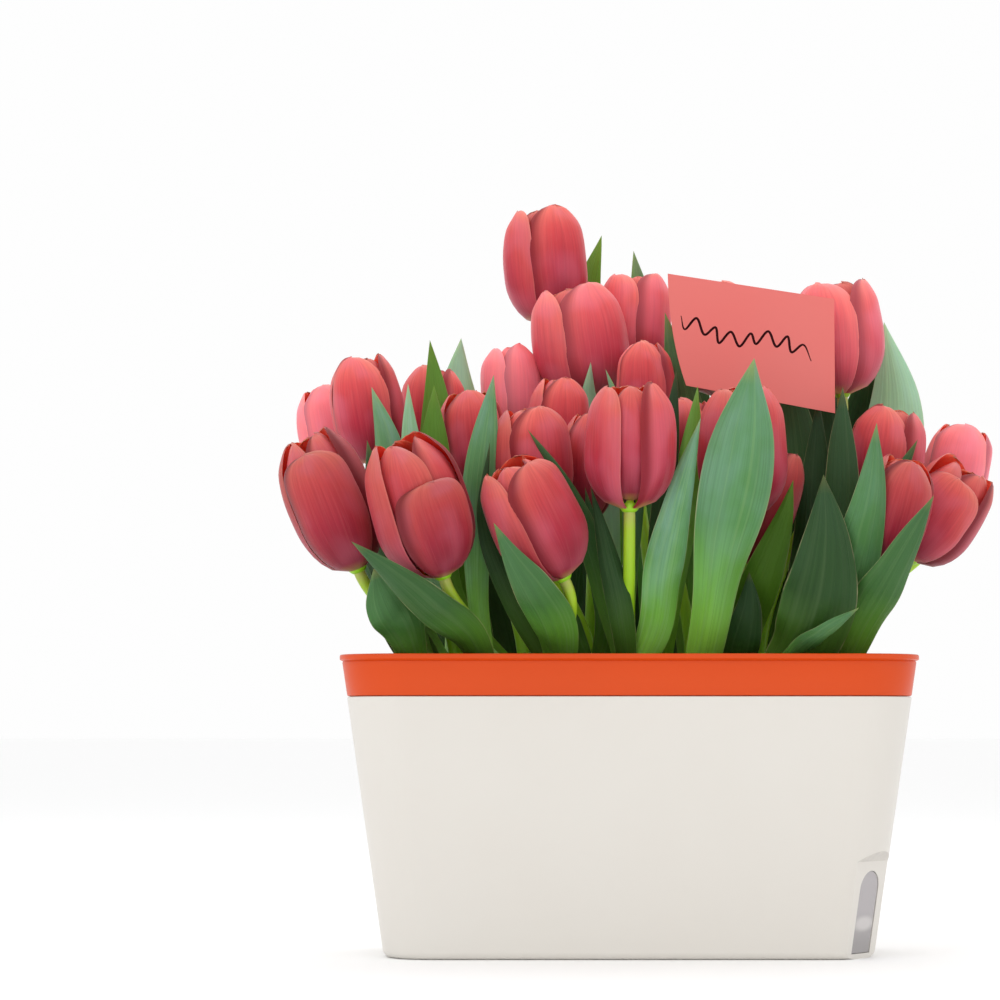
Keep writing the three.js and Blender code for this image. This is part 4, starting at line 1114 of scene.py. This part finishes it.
def slotted_leg(x):
    """A cup that holds soil down in the water, with four slots round it."""
    foot = POT_FLOOR + GAP
    top = LINER_FLOOR + 0.5
    bm = bmesh.new()
    low, high = LEG_RADIUS
    turned(bm, ((0, foot), (low - 1, foot), (low, foot + 1), (high, top), (high - LEG_WALL, top),
                (low - LEG_WALL, foot + LEG_WALL), (0, foot + LEG_WALL)),
           TURN_SIDES, Vector((x, 0, 0)))
    slots = []
    for n in range(4):
        slot = bmesh.new()
        bmesh.ops.create_cube(slot, size=1)
        bmesh.ops.scale(slot, vec=(high, SLOT[0], SLOT[1]), verts=slot.verts)
        bmesh.ops.translate(slot, vec=(high * 0.75, 0, SLOT[2]), verts=slot.verts)
        place = Matrix.Translation((x, 0, 0)) @ Matrix.Rotation(math.radians(45 + 90 * n), 4, "Z")
        bmesh.ops.transform(slot, matrix=place, verts=slot.verts)
        slots.append(scratch_object("slot", slot))
    return carved(scratch_object("leg", bm), slots)


planter_shell()
water_window()
liner()


# ---- soil ----
SOIL_RINGS = 34  # from the middle of the top to its rim; the last one is the foot
CRUMBS = 520
CRUMB_SIZE = (0.8, 2.6)


def lumps(x, y):
    """How far the soil rises or sinks at a place: uneven over about 9 mm."""
    return noise.fractal(Vector((x, y, 0)) / 9, 0.9, 2.0, 4) * 2.2


def soil():
    inset = BASKET_INSET + LINER_WALL + GAP
    foot = LINER_FLOOR + LINER_WALL + GAP
    chance = random.Random(7)
    bm = bmesh.new()

    def place(turn, along):
        share = min(along / 0.94, 1.0)
        if along > 0.97:
            return pot_ring(foot, inset, turn)
        edge = pot_ring(SOIL_TOP, inset, turn)
        x, y = edge.x * share, edge.y * share
        return Vector((x, y, SOIL_TOP + lumps(x, y) - 3 * ease(0.9, 1.0, share)))
    ring_tube(bm, AROUND, SOIL_RINGS, place)
    bmesh.ops.holes_fill(bm, edges=[edge for edge in bm.edges if edge.is_boundary], sides=0)
    bmesh.ops.recalc_face_normals(bm, faces=bm.faces)
    low = POT_FLOOR + LEG_WALL + 2 * GAP
    narrow, wide = (radius - LEG_WALL - GAP for radius in LEG_RADIUS)
    for x in (-LEG_X, LEG_X):
        turned(bm, ((0, low), (narrow, low), (wide, foot + 1), (0, foot + 1)),
               TURN_SIDES, Vector((x, 0, 0)))
    for n in range(CRUMBS):
        x = chance.uniform(-1, 1) * (POT_FOOT[0] + 4)
        y = chance.uniform(-1, 1) * (POT_FOOT[1] + 4)
        size = chance.uniform(*CRUMB_SIZE)
        crumb = bmesh.ops.create_icosphere(bm, subdivisions=1, radius=size)["verts"]
        angle = chance.uniform(0, 6)
        axis = Vector([chance.uniform(-1, 1) for axis in "xyz"]).normalized()
        flat = Matrix.Diagonal((1, chance.uniform(0.6, 1), chance.uniform(0.4, 0.8), 1))
        place = Matrix.Translation((x, y, SOIL_TOP + lumps(x, y))) @ Matrix.Rotation(angle, 4, axis)
        bmesh.ops.transform(bm, matrix=place @ flat, verts=crumb)
        for face in {face for vert in crumb for face in vert.link_faces}:
            face.material_index = 1
    finished("potting_soil", bm, [SOIL, CRUMB], ["soil"])


soil()


# ---- card and its stick ----
PEN_WIDTH = 1.3
PEN_TURNS = 16
INK_THICK = 0.16
INK_PROUD = 0.02  # how far the middle of the ink stands in front of the paper


def card():
    front = PICK[1] - PICK_RADIUS - GAP - CARD_THICK
    corners = [Vector((x, 0, z)) for x, z in CARD]
    curl = Vector((CARD_CURL[0], 0, CARD_CURL[1]))

    def place(across, along, side):
        left = corners[0] * (1 - along) ** 2 + curl * 2 * along * (1 - along) + corners[3] * along ** 2
        right = corners[1].lerp(corners[2], along)
        spot = left.lerp(right, (across + 1) / 2)
        spot.y = front + CARD_THICK / 2 - side * CARD_THICK / 2
        return spot
    bm = bmesh.new()
    for side in (1, -1):
        grid(bm, 24, 16, lambda a, s: place(a, s, side), flip=side < 0)
    bmesh.ops.bridge_loops(bm, edges=[edge for edge in bm.edges if edge.is_boundary])
    sharpen(bm, 30)
    flourish(bm, front)
    finished("coral_card", bm, [CARD_PAPER, INK], ["card"])
    bm = bmesh.new()
    low, high = PICK_ENDS
    turned(bm, ((0, low), (0.5, low + 1), (PICK_RADIUS, low + 8), (PICK_RADIUS, high - 0.5),
                (0.8, high), (0, high)), 12, Vector((PICK[0], PICK[1], 0)))
    finished("card_stick", bm, [PICK_WOOD], ["card_pick"])


def pen_stroke(bm, points, front):
    """A line of ink on the card's face, as a thin flat ribbon with narrow ends."""
    path = by_length(rib_curve(points, 12))

    def place(turn, along):
        middle, ahead = path(along)
        across = Vector((-ahead.z, 0, ahead.x))
        angle = 2 * math.pi * turn
        half = PEN_WIDTH / 2 * (0.35 + 0.65 * ease(0, 0.1, along) * ease(0, 0.12, 1 - along))
        spot = middle + across * half * math.cos(angle)
        spot.y = front - INK_PROUD + INK_THICK / 2 * math.sin(angle)
        return spot
    ring_tube(bm, 8, 16 * len(points), place, 1)


def flourish(bm, front):
    """A loose pen line that waves across the card and means nothing."""
    start = Vector((29, 0, 329))
    slope = Vector((1, 0, -0.19))
    up = Vector((0.19, 0, 1))
    wave = []
    reach = 0
    for n in range(PEN_TURNS):
        height = (1.6 + 4.2 * abs(math.sin(1.9 * n + 1.2)) ** 3) * (1 if n % 2 == 0 else -1)
        wave.append(start + slope * reach + up * height)
        reach += 3.1 + 2.6 * abs(math.sin(0.8 * n))
    pen_stroke(bm, wave, front)


card()

# ---- floor and light ----
floor_data = bpy.data.meshes.new("floor")
bm = bmesh.new()
bmesh.ops.create_grid(bm, x_segments=1, y_segments=1, size=40)
bm.to_mesh(floor_data)
bm.free()
floor = bpy.data.objects.new("floor", floor_data)
floor_data.materials.append(plain_skin("pale_floor", "#fcfcfc", 0.8, 20, 0.0))
bpy.context.collection.objects.link(floor)

world = bpy.data.worlds.new("studio")
world.use_nodes = True
sky = world.node_tree.nodes["Background"]
sky.inputs["Color"].default_value = linear("#ffffff")
sky.inputs["Strength"].default_value = 0.99
bpy.context.scene.world = world
LIT = Vector((0, 0, 0.2))


def soft_box(name, place, size, power):
    """A square light that looks at the planter: place and size in metres, power in watts."""
    data = bpy.data.lights.new(name, "AREA")
    data.shape = "SQUARE"
    data.size = size
    data.energy = power
    light = bpy.data.objects.new(name, data)
    light.location = place
    light.rotation_euler = (LIT - Vector(place)).to_track_quat("-Z", "Y").to_euler()
    bpy.context.collection.objects.link(light)


soft_box("key", (-0.9, -1.3, 1.6), 1.0, 7)
soft_box("fill", (1.6, -1.2, 0.8), 1.2, 1)
soft_box("top", (0.1, 0.5, 1.8), 1.2, 6)

bpy.context.scene.view_settings.view_transform = "Standard"
